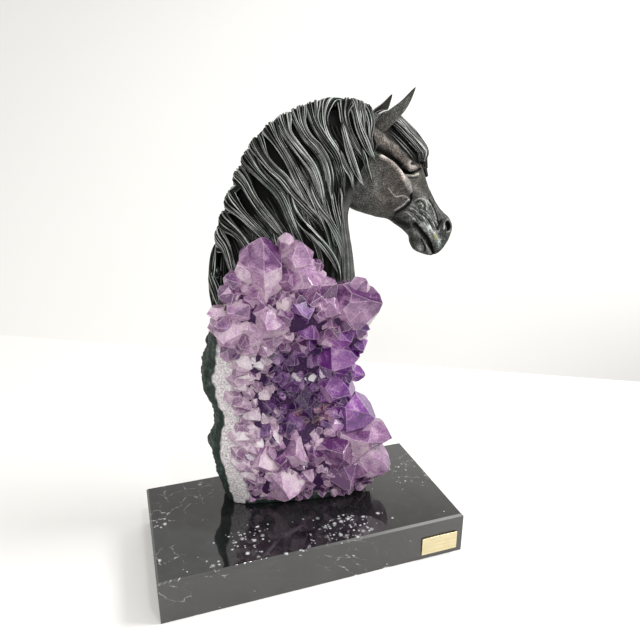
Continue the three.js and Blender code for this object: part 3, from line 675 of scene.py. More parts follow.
def ear(pile, side):
    """An ear, its broad side out. The far one is a little wider and leans back."""
    back = 1 if side > 0 else 0
    path = [
        [40.2, 4.2 * side, 78.5],
        [41.8, 5.4 * side, 82.4],
        [46.6 - 0.6 * back, 6.8 * side, 87.4],
        [52.4 - 1.6 * back, 8 * side, 92.8 - back],
        [57.5 - 3 * back, 8.6 * side, 100 - 2.5 * back],
    ]
    rows, columns = EAR_GRID
    t = np.linspace(0, 1, rows)
    centre = curve(path, t)
    ahead = unit(np.gradient(centre, axis=0))
    wide = np.array([0.62 * side, 0.44, -0.64 * side]) * np.ones((rows, 1))
    wide = unit(wide - ahead * (wide * ahead).sum(1, keepdims=True))
    thick = np.cross(ahead, wide)
    swell = (1 + 0.3 * back) * np.sin(np.pi * (0.2 + 0.8 * t)).clip(0, 1) ** 0.8
    angle = 2 * np.pi * np.arange(columns) / columns
    c, s = np.cos(angle), np.sin(angle)
    bowl = np.where(s < 0, -0.45 * s, s)
    ring = centre[:, None] + wide[:, None] * ((0.15 + 2.9 * swell)[:, None] * c)[..., None]
    ring = ring + thick[:, None] * ((0.25 + 2.2 * swell)[:, None] * bowl)[..., None]
    ring = ring + thick[:, None] * (0.05 * rough(ring, 2.2, 3, 11))[..., None]
    tone = 0.44 + 0.06 * back - 0.2 * (s < -0.1) * np.abs(s) + 0.14 * np.abs(c) ** 10
    tone = tone - 0.3 * smooth_step(1 - t / 0.35)[:, None]
    tone = tone + 0.05 * rough(ring, 3, 3, 6)
    pile.add(horse_place(ring), skin(rows, columns), tone=tone.clip(0, 1), brown=0.6)


def ears():
    pile = Pile()
    ear(pile, -1)
    ear(pile, 1)
    return pile


# Hair. Each lock lies over a dark core and is combed into strands.


def hair_lock(pile, centre, out, width, thick, strands, rng, tone=1.0, fineness=0.27, spread=1.35):
    """A lock along a path, given with the way out, half width and half thickness at each of its points."""
    rows = len(centre)
    t = np.linspace(0, 1, rows)
    ahead = unit(np.gradient(centre, axis=0))
    out = unit(out - ahead * (out * ahead).sum(1, keepdims=True))
    across = np.cross(ahead, out)
    angle = 2 * np.pi * np.arange(CORE_SIDES) / CORE_SIDES
    ring = centre[:, None] + across[:, None] * (0.9 * width[:, None] * np.sin(angle))[..., None]
    ring = ring + out[:, None] * (0.78 * thick[:, None] * np.cos(angle))[..., None]
    pile.add(horse_place(keep_off_crust(ring)), skin(rows, CORE_SIDES), tone=0.02, brown=0.0)
    theta = 2 * np.pi * np.arange(STRAND_SIDES) / STRAND_SIDES
    for j in range(strands):
        share = (j + 0.5) / strands * 2 - 1
        wander = 0.16 * np.sin(2 * np.pi * (rng.uniform(0.6, 1.7) * t + rng.uniform()))
        lean = spread * share + wander + rng.uniform(-0.09, 0.09)
        way = across * np.sin(lean)[:, None] * width[:, None]
        way = way + out * np.cos(lean)[:, None] * thick[:, None]
        normal = unit(across * (np.sin(lean) / width)[:, None] + out * (np.cos(lean) / thick)[:, None])
        side = np.cross(ahead, normal)
        start, end = rng.uniform(0, 0.06), rng.uniform(0.8, 1.0)
        radius = fineness * rng.uniform(0.5, 1.45) * (0.55 + 0.45 * width / width.max())
        radius = radius * smooth_step((t - start) * 14) * smooth_step((end - t) * 9) + 0.015
        middle = centre + way
        tube = middle[:, None] + normal[:, None] * (1.3 * radius[:, None] * np.cos(theta))[..., None]
        tube = tube + side[:, None] * (radius[:, None] * np.sin(theta))[..., None]
        brushed = tone * rng.choice([0.45, 0.8, 1.05, 1.2]) * (0.88 + 0.3 * noise(middle, 6, 21 + j))
        shade = 0.02 + brushed[:, None] * smooth_step((np.cos(theta) + 0.05) / 0.8)
        tube = horse_place(keep_off_crust(tube))
        pile.add(tube, skin(rows, STRAND_SIDES), tone=shade.clip(0, 1), brown=0.0)


# Near locks on the neck: half width, strands, then the course, each point's down and around in turn.
NEAR_LOCKS = [
    (2.2, 8, 0.9, -0.2, 0.915, -0.02, 0.94, 0.06, 0.97, 0.1, 0.99, 0.13),
    (2.2, 7, 0.86, -0.2, 0.872, -0.02, 0.905, 0.0, 0.94, 0.0, 0.985, 0.02),
    (2.3, 8, 0.8, -0.2, 0.812, -0.03, 0.83, 0.046, 0.847, 0.104, 0.88, 0.15, 0.94, 0.22),
    (2.4, 8, 0.755, -0.2, 0.769, -0.03, 0.784, 0.062, 0.797, 0.146, 0.815, 0.208, 0.85, 0.27, 0.9, 0.33),
    (2.5, 9, 0.695, -0.2, 0.709, -0.03, 0.727, 0.065, 0.744, 0.158, 0.759, 0.223, 0.785, 0.31, 0.82, 0.37,
     0.87, 0.42),
    (2.6, 9, 0.63, -0.2, 0.644, -0.03, 0.657, 0.1, 0.682, 0.181, 0.707, 0.254, 0.729, 0.315, 0.77, 0.4,
     0.83, 0.47),
    (2.7, 10, 0.567, -0.2, 0.581, -0.03, 0.609, 0.127, 0.622, 0.223, 0.632, 0.3, 0.649, 0.354, 0.679, 0.4,
     0.73, 0.46, 0.8, 0.53),
    (2.8, 10, 0.52, -0.2, 0.534, -0.03, 0.566, 0.135, 0.579, 0.235, 0.586, 0.323, 0.607, 0.396, 0.627,
     0.477, 0.654, 0.569, 0.7, 0.65),
    (2.7, 10, 0.457, -0.2, 0.471, -0.027, 0.496, 0.146, 0.509, 0.246, 0.524, 0.319, 0.549, 0.385, 0.579,
     0.458, 0.622, 0.527, 0.69, 0.61),
    (2.7, 10, 0.415, -0.2, 0.429, -0.023, 0.459, 0.146, 0.466, 0.262, 0.469, 0.342, 0.474, 0.423, 0.501,
     0.496, 0.539, 0.546, 0.61, 0.63),
    (2.8, 10, 0.364, -0.2, 0.378, -0.019, 0.406, 0.154, 0.414, 0.269, 0.404, 0.354, 0.404, 0.435, 0.424,
     0.512, 0.466, 0.577, 0.53, 0.67),
    (2.8, 10, 0.307, -0.2, 0.321, -0.015, 0.356, 0.173, 0.361, 0.277, 0.351, 0.365, 0.336, 0.446, 0.338,
     0.527, 0.345, 0.604, 0.38, 0.69),
    (2.4, 9, 0.17, -0.02, 0.21, -0.01, 0.25, 0.01, 0.29, 0.075, 0.328, 0.212, 0.338, 0.319, 0.323, 0.408,
     0.31, 0.48, 0.3, 0.57),
    (2.5, 9, 0.165, -0.2, 0.178, -0.01, 0.215, 0.12, 0.233, 0.223, 0.233, 0.327, 0.208, 0.423, 0.163,
     0.523, 0.12, 0.65),
    (2.0, 7, 0.6, 0.36, 0.649, 0.404, 0.689, 0.465, 0.719, 0.542, 0.762, 0.619, 0.835, 0.692, 0.92, 0.73),
    (1.6, 6, 0.52, 0.44, 0.559, 0.492, 0.591, 0.55, 0.622, 0.627, 0.684, 0.7, 0.767, 0.742, 0.9, 0.75),
    # from behind the ear over the cheek
    (2.4, 9, 0.135, -0.2, 0.15, 0.02, 0.158, 0.162, 0.16, 0.319, 0.13, 0.431, 0.078, 0.581, 0.03, 0.75),
    (2.0, 7, 0.11, -0.08, 0.12, 0.03, 0.12, 0.181, 0.135, 0.312, 0.12, 0.404, 0.093, 0.515),
    (1.7, 6, 0.255, 0.25, 0.256, 0.369, 0.253, 0.458, 0.233, 0.554, 0.195, 0.669, 0.15, 0.84),
    (1.2, 4, 0.17, 0.46, 0.14, 0.581, 0.118, 0.708, 0.1, 0.86),
    (1.4, 5, 0.31, 0.42, 0.301, 0.531, 0.276, 0.6, 0.266, 0.677, 0.256, 0.78),
    (2.0, 7, 0.08, -0.06, 0.075, 0.05, 0.065, 0.15, 0.07, 0.277, 0.085, 0.388, 0.068, 0.515),
]
NECK_LOCKS = 14  # the first locks, which follow each other along the crest


def beside_head(points):
    """Moves hair out to lie on the cheek where the head is wider than the neck."""
    along, around = (a.ravel() for a in np.meshgrid(np.linspace(0, 0.7, 90), np.linspace(0, 1, 60)))
    cheek = head_point(along, around, -1)
    points = points.copy()
    away = np.hypot(points[:, None, 0] - cheek[:, 0], points[:, None, 2] - cheek[:, 2])
    wide = np.where(away.min(1) < 1.5, np.abs(cheek[away.argmin(1), 1]), 0)
    push = np.maximum(0, wide + 0.5 - np.abs(points[:, 1]))
    smooth = np.convolve(np.pad(push, 4, mode="edge"), np.ones(9) / 9, mode="valid")
    points[:, 1] -= np.maximum(push, smooth)
    return points


def on_course(course, t):
    """Down and around at shares of a course, and a nought for the third coordinate."""
    return curve([[down, around, 0] for down, around in np.reshape(course, (-1, 2))], t)


def lock_course(course):
    """Points along a near lock, the way out, the length so far and to go, and how far around they lie."""
    place = on_course(course, np.linspace(0, 1, 160))
    points, out = neck_point(place[:, 0].clip(0, 1), place[:, 1], -1)
    so_far = np.concatenate([[0], np.cumsum(np.linalg.norm(np.diff(points, axis=0), axis=1))])
    at = np.linspace(0, so_far[-1], LOCK_ROWS)
    points, out, over = (
        np.stack([np.interp(at, so_far, column) for column in grid.T], 1)
        for grid in (points, out, place[:, 1:2])
    )
    return points, unit(out), at, so_far[-1] - at, over[:, 0]


def near_mane():
    """The long locks that fall over the neck's near side and the cheek."""
    rng = np.random.default_rng(5)
    pile = Pile()
    for width, strands, *course in NEAR_LOCKS:
        points, out, gone, left, over = lock_course(course)
        hump = np.exp(-(((over - 0.03) / 0.09) ** 2))
        points = beside_head(points + out * (0.35 + 1.5 * hump + 0.8 * smooth_step(left / 25))[:, None])
        wide = 1.22 * width * (0.34 + 0.78 * hump + 0.26 * np.sin(np.pi * gone / gone[-1]))
        wide = wide * smooth_step((left + 2) / 16) * mix(0.5, 1, smooth_step(gone / 3)) + 0.12
        thick = (0.3 + 1.0 * hump + 0.8 * smooth_step(left / 20)) * smooth_step((left + 1) / 12) + 0.1
        hair_lock(pile, points, out, wide, thick, round(1.5 * strands), rng, 0.86, 0.23)
    return pile


def under_mane():
    """Thin darker strands low in the gaps between the near locks."""
    rng = np.random.default_rng(8)
    pile = Pile()
    lower = np.linspace(0.5, 1, 8)
    courses = [on_course(course, lower)[:, :2] for _, _, *course in NEAR_LOCKS[:NECK_LOCKS]]
    for a, b in zip(courses[:-1], courses[1:]):
        for share in (0.3, 0.5, 0.7):
            points, out, gone, left, _ = lock_course(mix(a, b, share))
            points = points + out * (0.1 + 0.5 * smooth_step(left / 12))[:, None]
            wide = 0.15 + 0.75 * smooth_step(left / 10) * smooth_step(gone / 12)
            hair_lock(pile, points, out, wide, 0.1 + 0.5 * wide, 3, rng, 0.5, 0.2)
    return pile


# Courses of the strands that fall to the crown below the ends of the near locks.
FALLS = [
    [0.7, 0.3, 0.78, 0.36, 0.86, 0.42, 0.95, 0.47],
    [0.66, 0.36, 0.74, 0.43, 0.82, 0.5, 0.92, 0.56],
    [0.76, 0.24, 0.83, 0.29, 0.9, 0.33, 0.98, 0.37],
    [0.62, 0.44, 0.7, 0.52, 0.78, 0.58, 0.88, 0.62],
    [0.73, 0.33, 0.8, 0.41, 0.87, 0.46, 0.96, 0.52],
    [0.81, 0.2, 0.87, 0.24, 0.94, 0.28, 0.99, 0.3],
    [0.56, 0.5, 0.64, 0.58, 0.72, 0.64, 0.84, 0.67],
    [0.5, 0.54, 0.57, 0.6, 0.65, 0.66, 0.76, 0.7],
    [0.44, 0.56, 0.5, 0.63, 0.57, 0.69, 0.66, 0.73],
    [0.38, 0.6, 0.43, 0.66, 0.49, 0.71, 0.57, 0.75],
]


def falls():
    """Loose strands below the ends of the near locks."""
    rng = np.random.default_rng(34)
    pile = Pile()
    for course in FALLS:
        points, out, gone, left, _ = lock_course(course)
        points = points + out * (0.45 * smooth_step(gone / 5))[:, None]
        wide = 0.1 + 0.95 * smooth_step(gone / 6) * smooth_step((left + 1) / 8)
        hair_lock(pile, points, out, wide, 0.15 + 0.45 * wide, 4, rng, 0.8, 0.22)
    return pile


def far_mane():
    """A fringe of short locks beyond the crest."""
    rng = np.random.default_rng(13)
    pile = Pile()
    for start in np.linspace(0.08, 0.9, 15):
        t = np.linspace(0, 1, 30)
        down = start + 0.05 * t**1.3 + 0.012 * np.sin(6 * t + 9 * start)
        around = mix(-0.08, 0.2 + 0.07 * np.sin(17 * start), t)
        lift = 0.2 + 1.7 * np.sin(np.pi * (0.25 + 0.7 * t))
        points, out = neck_point(down.clip(0, 1), around, 1, lift)
        wide = 3 * np.sin(np.pi * (0.22 + 0.68 * t)) + 0.1
        hair_lock(pile, points, out, wide, 0.25 + 1.1 * np.sin(np.pi * (0.3 + 0.62 * t)), 8, rng, 0.85)
    return pile


# Forelock: how far left of the middle each lock starts, how far it stands off the face, and where it ends.
FORELOCK = [
    (-2.4, 0.6, [62, -9, 68]), (-0.8, 2.2, [67, -3.5, 64.5]),
    (1.2, 2.8, [70.5, 2, 60]), (3.2, 1.6, [67.5, 7.5, 59]),
]
# Thin strands in the dark gap between the temple and the forelock.
GAP_STRANDS = [
    [[46.5, 82.2], [51, 78.6], [55.4, 74.4], [59.6, 69.6]],
    [[47, 80.6], [50.6, 77], [54.4, 73], [58, 69]],
]


def forelock():
    """The locks that fall over the forehead, and the strands in the gap beside them."""
    rng = np.random.default_rng(21)
    pile = Pile()
    for left, stand, tip in FORELOCK:
        path = [
            [42.5, left, 84.2], [48, 1.2 * left, 86.8 + 0.3 * stand], [56.5, 1.7 * left, 79.8 + stand],
            [63.6 + 0.7 * stand, 2.2 * left, 72 + 0.5 * stand], tip,
        ]
        t = np.linspace(0, 1, 60)
        centre = curve(path, t)
        ahead = unit(np.gradient(centre, axis=0))
        out = np.cross(ahead, np.array([0, -1, 0]) * np.ones((60, 1)))
        wide = 0.3 + 3.4 * np.sin(np.pi * (0.25 + 0.68 * t))
        thick = 0.3 + 2.7 * np.sin(np.pi * (0.28 + 0.66 * t)) ** 0.7
        hair_lock(pile, centre - out * 0.6, out, wide, thick, 32, rng, 1.0, 0.24, 2.4)
    for path in GAP_STRANDS:
        t = np.linspace(0, 1, 50)
        centre = on_near_side(curve(path, t))
        out = np.array([0.2, -0.9, 0.35]) * np.ones((50, 1))
        wide = 0.04 + 0.12 * np.sin(np.pi * t)
        hair_lock(pile, centre + out * 0.3, out, wide, wide, 2, rng, 0.75, 0.2, 1.2)
    return pile


def on_near_side(path):
    """The points of the head's near side under a path of (x, z), smoothed."""
    along, around = np.meshgrid(np.linspace(0, 1, 200), np.linspace(0.02, 0.98, 150), indexing="ij")
    side = head_point(along.ravel(), around.ravel(), -1.0)
    nearest = [np.argmin(np.hypot(side[:, 0] - x, side[:, 2] - z)) for x, z in path]
    steps = np.arange(len(path))
    smooth = np.polyfit(steps, side[nearest, 1], 3)
    return np.stack([path[:, 0], np.polyval(smooth, steps), path[:, 1]], 1)


# Geode. Places are in its own frame: millimetres, or shares of its width and height.

# How far the rock reaches left, right and to the front, at nine heights from the foot up.
GEODE_SPREAD = [
    [0.9, 0.94, 0.94], [1.0, 1.1, 1.04], [1.06, 1.0, 0.94], [1.0, 0.82, 0.84],
    [1.1, 0.78, 0.88], [1.06, 0.86, 1.08], [0.96, 0.93, 1.34], [0.8, 0.5, 1.32], [0.5, 0.22, 1.05],
]
# Largest crystal points: x, z, size, aim to the right and up.
CROWN_POINTS = [
    (-0.17, 1.05, 0.9, -0.1, 2.2), (0.04, 1.05, 0.66, 0.2, 1.4), (-0.03, 1.09, 0.34, 0.1, 2.0),
    (-0.03, 0.94, 0.84, 0.0, 0.1), (0.09, 0.93, 0.92, 0.2, 0.1), (0.15, 0.98, 0.42, 0.5, 0.6),
    (-0.36, 0.96, 0.4, -0.9, 0.6), (-0.29, 0.99, 0.5, -0.6, 0.9), (-0.28, 0.92, 0.4, -0.3, 0.1),
    (-0.43, 0.8, 0.42, -0.5, 0.0), (-0.42, 0.71, 0.36, -0.5, -0.3), (-0.39, 0.9, 0.4, -0.9, 0.1),
    (-0.2, 0.89, 0.62, -0.1, 0.1), (-0.35, 0.84, 0.6, -0.5, 0.1),
    (-0.38, 0.75, 1.0, -0.3, -0.2), (-0.47, 0.84, 0.3, -1.3, 0.2), (-0.15, 0.79, 0.94, -0.1, -0.1),
    (-0.03, 0.81, 0.5, 0.3, 0.0), (0.23, 0.9, 0.62, 0.5, 0.8), (0.24, 0.82, 0.68, 0.2, 0.0),
    (0.45, 0.84, 1.0, 1.0, 0.3), (0.42, 0.91, 0.44, 0.6, 1.2), (-0.16, 0.67, 0.66, 0.2, -0.4),
]
RIM_POINTS = [
    (0.07, 0.82, 0.66, 0.2, -0.3), (0.11, 0.73, 0.68, 0.2, -0.3), (0.11, 0.66, 0.5, 0.1, -0.6),
    (0.32, 0.71, 0.68, 0.5, -0.2), (0.43, 0.74, 0.46, 1.2, 0.0), (0.36, 0.62, 0.86, 0.6, 0.1),
    (0.44, 0.53, 0.38, 1.3, 0.0), (0.33, 0.46, 0.74, 0.4, 0.1), (0.47, 0.35, 0.92, 0.8, 0.1),
]
FOOT_POINTS = [
    (0.44, 0.25, 0.9, 0.3, 0.3), (0.59, 0.26, 0.66, 1.1, 0.1), (0.57, 0.14, 0.8, 0.8, -0.1),
    (0.28, 0.22, 0.96, 0.1, 0.4), (0.01, 0.22, 0.7, -0.1, 0.4), (0.14, 0.2, 0.5, 0.0, 0.3),
    (-0.08, 0.19, 0.54, -0.2, 0.2), (-0.21, 0.2, 0.7, -0.3, 0.2), (-0.04, 0.08, 0.9, 0.0, -0.2),
    (0.1, 0.11, 0.44, 0.2, 0.0), (0.34, 0.09, 0.74, 0.2, -0.3), (0.46, 0.12, 0.5, 0.4, 0.0),
]
POCKET_POINTS = [
    (0.05, 0.32, 0.54, 0.2, 0.5), (-0.18, 0.31, 0.5, 0.3, 0.2), (-0.16, 0.4, 0.6, 0.5, 0.0),
    (0.05, 0.47, 0.5, 0.0, 0.3), (0.01, 0.58, 0.58, 0.2, -0.3), (0.15, 0.57, 0.5, -0.1, -0.2),
    (0.18, 0.42, 0.46, -0.2, 0.3),
]

# Bright shards, reddish fins low in the pocket, and the worn yellowish patch under the largest crystal.
WHITE_POINTS = [
    (-0.2, 0.6, 0.34, 0.9, -0.6), (-0.24, 0.63, 0.24, 0.8, -0.7), (0.16, 0.87, 0.24, 0.4, 0.1),
    (0.06, 0.49, 0.3, 0.2, 0.5), (0.02, 0.51, 0.26, -0.5, 0.4), (0.16, 0.5, 0.28, 0.5, 0.4),
    (-0.29, 0.23, 0.34, -0.5, 0.3),
]
FIN_POINTS = [
    (0.07, 0.36, 0.3, 0.9, 0.9), (0.13, 0.38, 0.26, 0.7, 1.2), (0.19, 0.37, 0.3, 1.0, 0.7),
    (0.25, 0.38, 0.26, 0.9, 1.0), (0.1, 0.32, 0.28, 1.2, 0.6), (0.17, 0.33, 0.3, 0.8, 0.8),
    (0.22, 0.33, 0.24, 1.1, 0.9), (0.28, 0.34, 0.26, 0.9, 0.6), (0.31, 0.4, 0.24, -0.6, 0.8),
]
YELLOW_POINTS = [
    (-0.16, 0.93, 0.26, 0.2, 0.3), (-0.13, 0.915, 0.22, 0.6, -0.2), (-0.19, 0.91, 0.18, -0.5, 0.2),
    (-0.15, 0.9, 0.2, 0.1, -0.5), (-0.11, 0.94, 0.14, 0.7, 0.4),
]


def pocket_at(x, z):
    """How deep the pocket is, from none to one."""
    across = (x / GEODE_WIDTH - POCKET_MIDDLE[0]) / POCKET_HALF[0]
    up = (z / GEODE_HEIGHT - POCKET_MIDDLE[1]) / POCKET_HALF[1]
    return np.exp(-(across**4) - up**4)


def geode_reach(x, z):
    """How far the rock reaches to the side that x is on, in millimetres."""
    spread = curve(GEODE_SPREAD, np.asarray(z) / GEODE_HEIGHT)
    return GEODE_WIDTH / 2 * np.where(np.asarray(x) < 0, spread[:, 0], spread[:, 1])


def geode_point(angle, z):
    """A place on the rock, by the angle seen from above and the height."""
    angle, z = np.broadcast_arrays(np.atleast_1d(angle).astype(float), z)
    c, s = np.cos(angle), np.sin(angle)
    front = s < 0
    power = np.where(front, 0.5, 0.85)
    deep = GEODE_DEPTH / 2 * np.where(front, curve(GEODE_SPREAD, z / GEODE_HEIGHT)[:, 2], 1.08)
    wave = 0.5 * np.sin(3.1 * angle + 0.11 * z) + 0.3 * np.sin(7.3 * angle - 0.23 * z + 1)
    wave = wave + 0.2 * np.sin(11.7 * angle + 0.37 * z + 2)
    ripple = 1 + 0.045 * wave * np.where(front, 0.3, 1)
    x = geode_reach(c, z) * np.sign(c) * np.abs(c) ** power * ripple
    y = deep * np.sign(s) * np.abs(s) ** power * ripple
    return np.stack([x, y + np.where(front, POCKET_DEPTH * pocket_at(x, z), 0), z], -1)


def geode_face(x, z):
    """The face of the rock at a width and height, in millimetres."""
    share = min(0.96, abs(x) / geode_reach([x], [z])[0])
    return geode_point(-math.acos(math.copysign(share**2, x)), z)[0]


def geode_grid(low, high, rows, columns):
    """Heights, angles and places of a grid of points round the rock."""
    turns = 2 * np.pi * (np.arange(columns) + 0.5) / columns
    z, angle = np.meshgrid(np.linspace(low, high, rows), turns, indexing="ij")
    return z, angle, geode_point(angle.ravel(), z.ravel()).reshape(rows, columns, 3)


def rock():
    """The geode's stone up to the seat: lumpy rind outside, granular layer and druse at the front."""
    rows, columns = ROCK_GRID
    z, angle, grid = geode_grid(0, SEAT_HEIGHT, rows, columns)
    normal = normals_of(grid)
    shell = np.clip(np.sin(angle) * 4 + 2.2 + 0.5 * noise(grid, 12, 3), 0, 1)
    side = np.abs(grid[..., 0]) / geode_reach(grid[..., 0].ravel(), z.ravel()).reshape(rows, columns)
    left = grid[..., 0] < 0
    edge = np.where(left, 0.87, 0.95) + 0.025 * rough(grid, 7, 3, 4)
    rind = np.maximum(smooth_step((side - edge) * 40), smooth_step((np.sin(angle) + 0.12) * 8))
    rind = np.maximum(rind, smooth_step((7 + 4 * noise(grid, 9, 6) - z) / 3) * (grid[..., 0] > -34))
    druse = smooth_step((np.where(left, 0.68, 1.3) + 0.05 * rough(grid, 7, 3, 8) - side) * 12) * (1 - rind)
    lumps = rind * (1.5 * np.abs(rough(grid, 9, 4, 1)) - 0.7 + 0.5 * rough(grid, 2.2, 3, 2))
    grain = (1 - rind) * 0.35 * rough(grid, 1.6, 3, 7)
    raised = np.minimum(lumps, 0.9) + grain
    grid = grid + normal * raised[..., None] * np.minimum(1, shell + 0.4)[..., None]
    grid[..., 2] = np.clip(grid[..., 2], 0, SEAT_HEIGHT)
    pile = Pile()
    pile.add(geode_place(grid), skin(rows, columns), layer=1 - rind, druse=druse)
    return pile


def crust():
    """The rock behind the crown crystals, in front of the horse's neck."""
    rows, columns = CRUST_GRID
    _, angle, grid = geode_grid(SEAT_HEIGHT - 4, GEODE_HEIGHT, rows, columns)
    grid = grid + normals_of(grid) * (0.4 * rough(grid, 5, 4, 12))[..., None]
    placed = geode_place(grid)
    front = np.sin(angle) < 0
    forward = np.minimum(placed[..., 1], (WALL_Y - CRUST_THICKNESS) * MM)
    placed[..., 1] = np.where(front, forward, WALL_Y * MM)
    pile = Pile()
    pile.add(placed, skin(rows, columns), layer=0.0, druse=1.0)
    return pile


def cut_faces(planes, far):
    """The corners of each face of the solid that planes enclose, given by their ways out and distances."""
    square = ((-1, -1), (1, -1), (1, 1), (-1, 1))
    faces = []
    for k, (normal, distance) in enumerate(planes):
        side = unit(np.cross(normal, [0.3, 0.5, 0.8]))
        other = np.cross(normal, side)
        corners = [normal * distance + far * (side * a + other * b) for a, b in square]
        for j, (limit, reach) in enumerate(planes):
            if j == k or not corners:
                continue
            over = [float(c @ limit) - reach for c in corners]
            kept = []
            for i, corner in enumerate(corners):
                if (over[i] <= 0) != (over[i - 1] <= 0):
                    share = over[i] / (over[i] - over[i - 1])
                    kept.append(corner + (corners[i - 1] - corner) * share)
                if over[i] <= 0:
                    kept.append(corner)
            corners = kept
        if len(corners) > 2:
            faces.append(np.array(corners))
    return faces


def add_crystal(pile, foot, aim, radius, length, turn, rng, shade):
    """A six-sided crystal whose point has three large faces and three small ones."""
    up = unit(np.asarray(aim, float))
    side = unit(np.cross([0.31, 0.17, 0.93], up))
    other = np.cross(up, side)
    planes = [(-up, 0.0)]
    slope = math.radians(POINT_SLOPE)
    blunt = rng.uniform(0.0, 0.12)
    for i in range(6):
        angle = turn + i * math.pi / 3 + rng.uniform(-CRYSTAL_JITTER, CRYSTAL_JITTER)
        around = side * math.cos(angle) + other * math.sin(angle)
        wide = radius * rng.uniform(0.8, 1.0)
        planes.append((around, wide))
        tilt = slope + rng.uniform(-CRYSTAL_JITTER, CRYSTAL_JITTER)
        way = around * math.cos(tilt) + up * math.sin(tilt)
        back = (0.0 if i % 2 else 0.22) + blunt + rng.uniform(0, 0.12)
        planes.append((way, length * math.sin(tilt) - back * radius * math.sin(tilt)))
    index = {}
    points, faces, tones, edges = [], [], [], []
    for corners in cut_faces(planes, 4 * (radius + length)):
        ring = []
        for corner in corners:
            key = tuple(np.round(corner, 3))
            if key not in index:
                index[key] = len(points)
                points.append(foot + corner)
                tones.append(shade + FOOT_LIGHT * (1 - float(corner @ up) / length))
                edges.append(1.0)
            if index[key] not in ring:
                ring.append(index[key])
        if len(ring) < 3:
            continue
        corners = np.array([points[i] for i in ring])
        middle = corners.mean(0)
        spans = np.linalg.norm(corners - middle, axis=1)
        inset = np.minimum(0.5, EDGE_LINE / spans)[:, None]
        first = len(points)
        tint = 0.2 * rng.standard_normal()
        for corner, place in zip(corners, mix(corners, middle, inset)):
            points.append(place)
            tones.append(shade + tint + FOOT_LIGHT * (1 - float((place - foot) @ up) / length))
            edges.append(0.0)
        n = len(ring)
        for i in range(n):
            j = (i + 1) % n
            faces.append([ring[i], ring[j], first + j, first + i])
        faces.append(list(range(first, first + n)))
    pile.add(geode_place(np.array(points)), faces, shade=tones, edge=edges)


def face_point(pile, x, z, size, aim, turn, rng, shade, stretch=3.0):
    """A crystal with its point out of the rock's face, or of the crust above the seat."""
    radius = size * CRYSTAL_SIZE
    reach = 0.86 * geode_reach([x], [min(z, 0.97) * GEODE_HEIGHT])[0]
    y = geode_face(np.clip(x * GEODE_WIDTH, -reach, reach), min(z, 0.97) * GEODE_HEIGHT)[1]
    if z * GEODE_HEIGHT > SEAT_HEIGHT:
        wall = WALL_Y - CROWN_DEPTH - GEODE_PLACE[1] - math.sin(GEODE_TURN) * x * GEODE_WIDTH
        y = min(y, wall / math.cos(GEODE_TURN))
    foot = np.array([x * GEODE_WIDTH, y - 0.1 * radius, z * GEODE_HEIGHT])
    foot = foot - unit(np.asarray(aim, float)) * (stretch - 1.0) * radius
    add_crystal(pile, foot, aim, radius, stretch * radius, turn, rng, shade)


def leading(points, shades, seed, scale=1.25, stretch=3.0, turn=0.0):
    """The large points of a list."""
    rng = np.random.default_rng(seed)
    pile = Pile()
    for i, (x, z, size, right, up) in enumerate(points):
        aim, shade = (right, -1, up), rng.uniform(*shades)
        face_point(pile, x, z, scale * size, aim, 0.7 * i + turn, rng, shade, stretch)
    return pile


ALL_LEADING = CROWN_POINTS + RIM_POINTS + FOOT_POINTS + POCKET_POINTS


def small_points(inside, size, pitch, shades, lean, seed, ahead=1.0):
    """Rows of small points over the part of the face that inside names, where the large ones leave room."""
    rng = np.random.default_rng(seed)
    pile = Pile()
    for row in np.arange(0.03, 1.0, pitch / GEODE_HEIGHT):
        for column in np.arange(-0.56, 0.6, pitch / GEODE_WIDTH):
            x = column + rng.uniform(-0.5, 0.5) * pitch / GEODE_WIDTH
            z = row + rng.uniform(-0.5, 0.5) * pitch / GEODE_HEIGHT
            s = rng.uniform(*size)
            aim = (lean[0] + rng.uniform(-0.5, 0.5), -ahead, lean[1] + rng.uniform(-0.5, 0.5))
            turn, shade = rng.uniform(0, 2), rng.uniform(*shades)
            if not inside(x, z) or abs(x) * GEODE_WIDTH > 0.97 * geode_reach([x], [z * GEODE_HEIGHT])[0]:
                continue
            crowded = any(
                math.hypot((x - ox) * GEODE_WIDTH, (z - oz) * GEODE_HEIGHT) < CRYSTAL_SIZE / 2 * (s + taken)
                for ox, oz, taken, *_ in ALL_LEADING
            )
            if not crowded:
                face_point(pile, x, z, s, aim, turn, rng, shade)
    return pile


def upper_druse(x, z):
    return z > 0.66 and (z > 0.74 or x > -0.4)


def lower_druse(x, z):
    return z < 0.3 and x > -0.3


def pocket_druse(x, z):
    return 0.28 < z < 0.68 and -0.15 < x < 0.26


def right_druse(x, z):
    return 0.25 < z < 0.72 and x >= 0.22


def left_druse(x, z):
    return 0.1 < z < 0.7 and -0.33 < x < -0.1


def bevelled(piece, width):
    """Rounds the crystals' edges a little, so that they catch the light."""
    modifier = piece.modifiers.new("edges", "BEVEL")
    modifier.width = width * MM
    modifier.limit_method = "ANGLE"
    modifier.angle_limit = SHARP_EDGE


# Plinth and plate


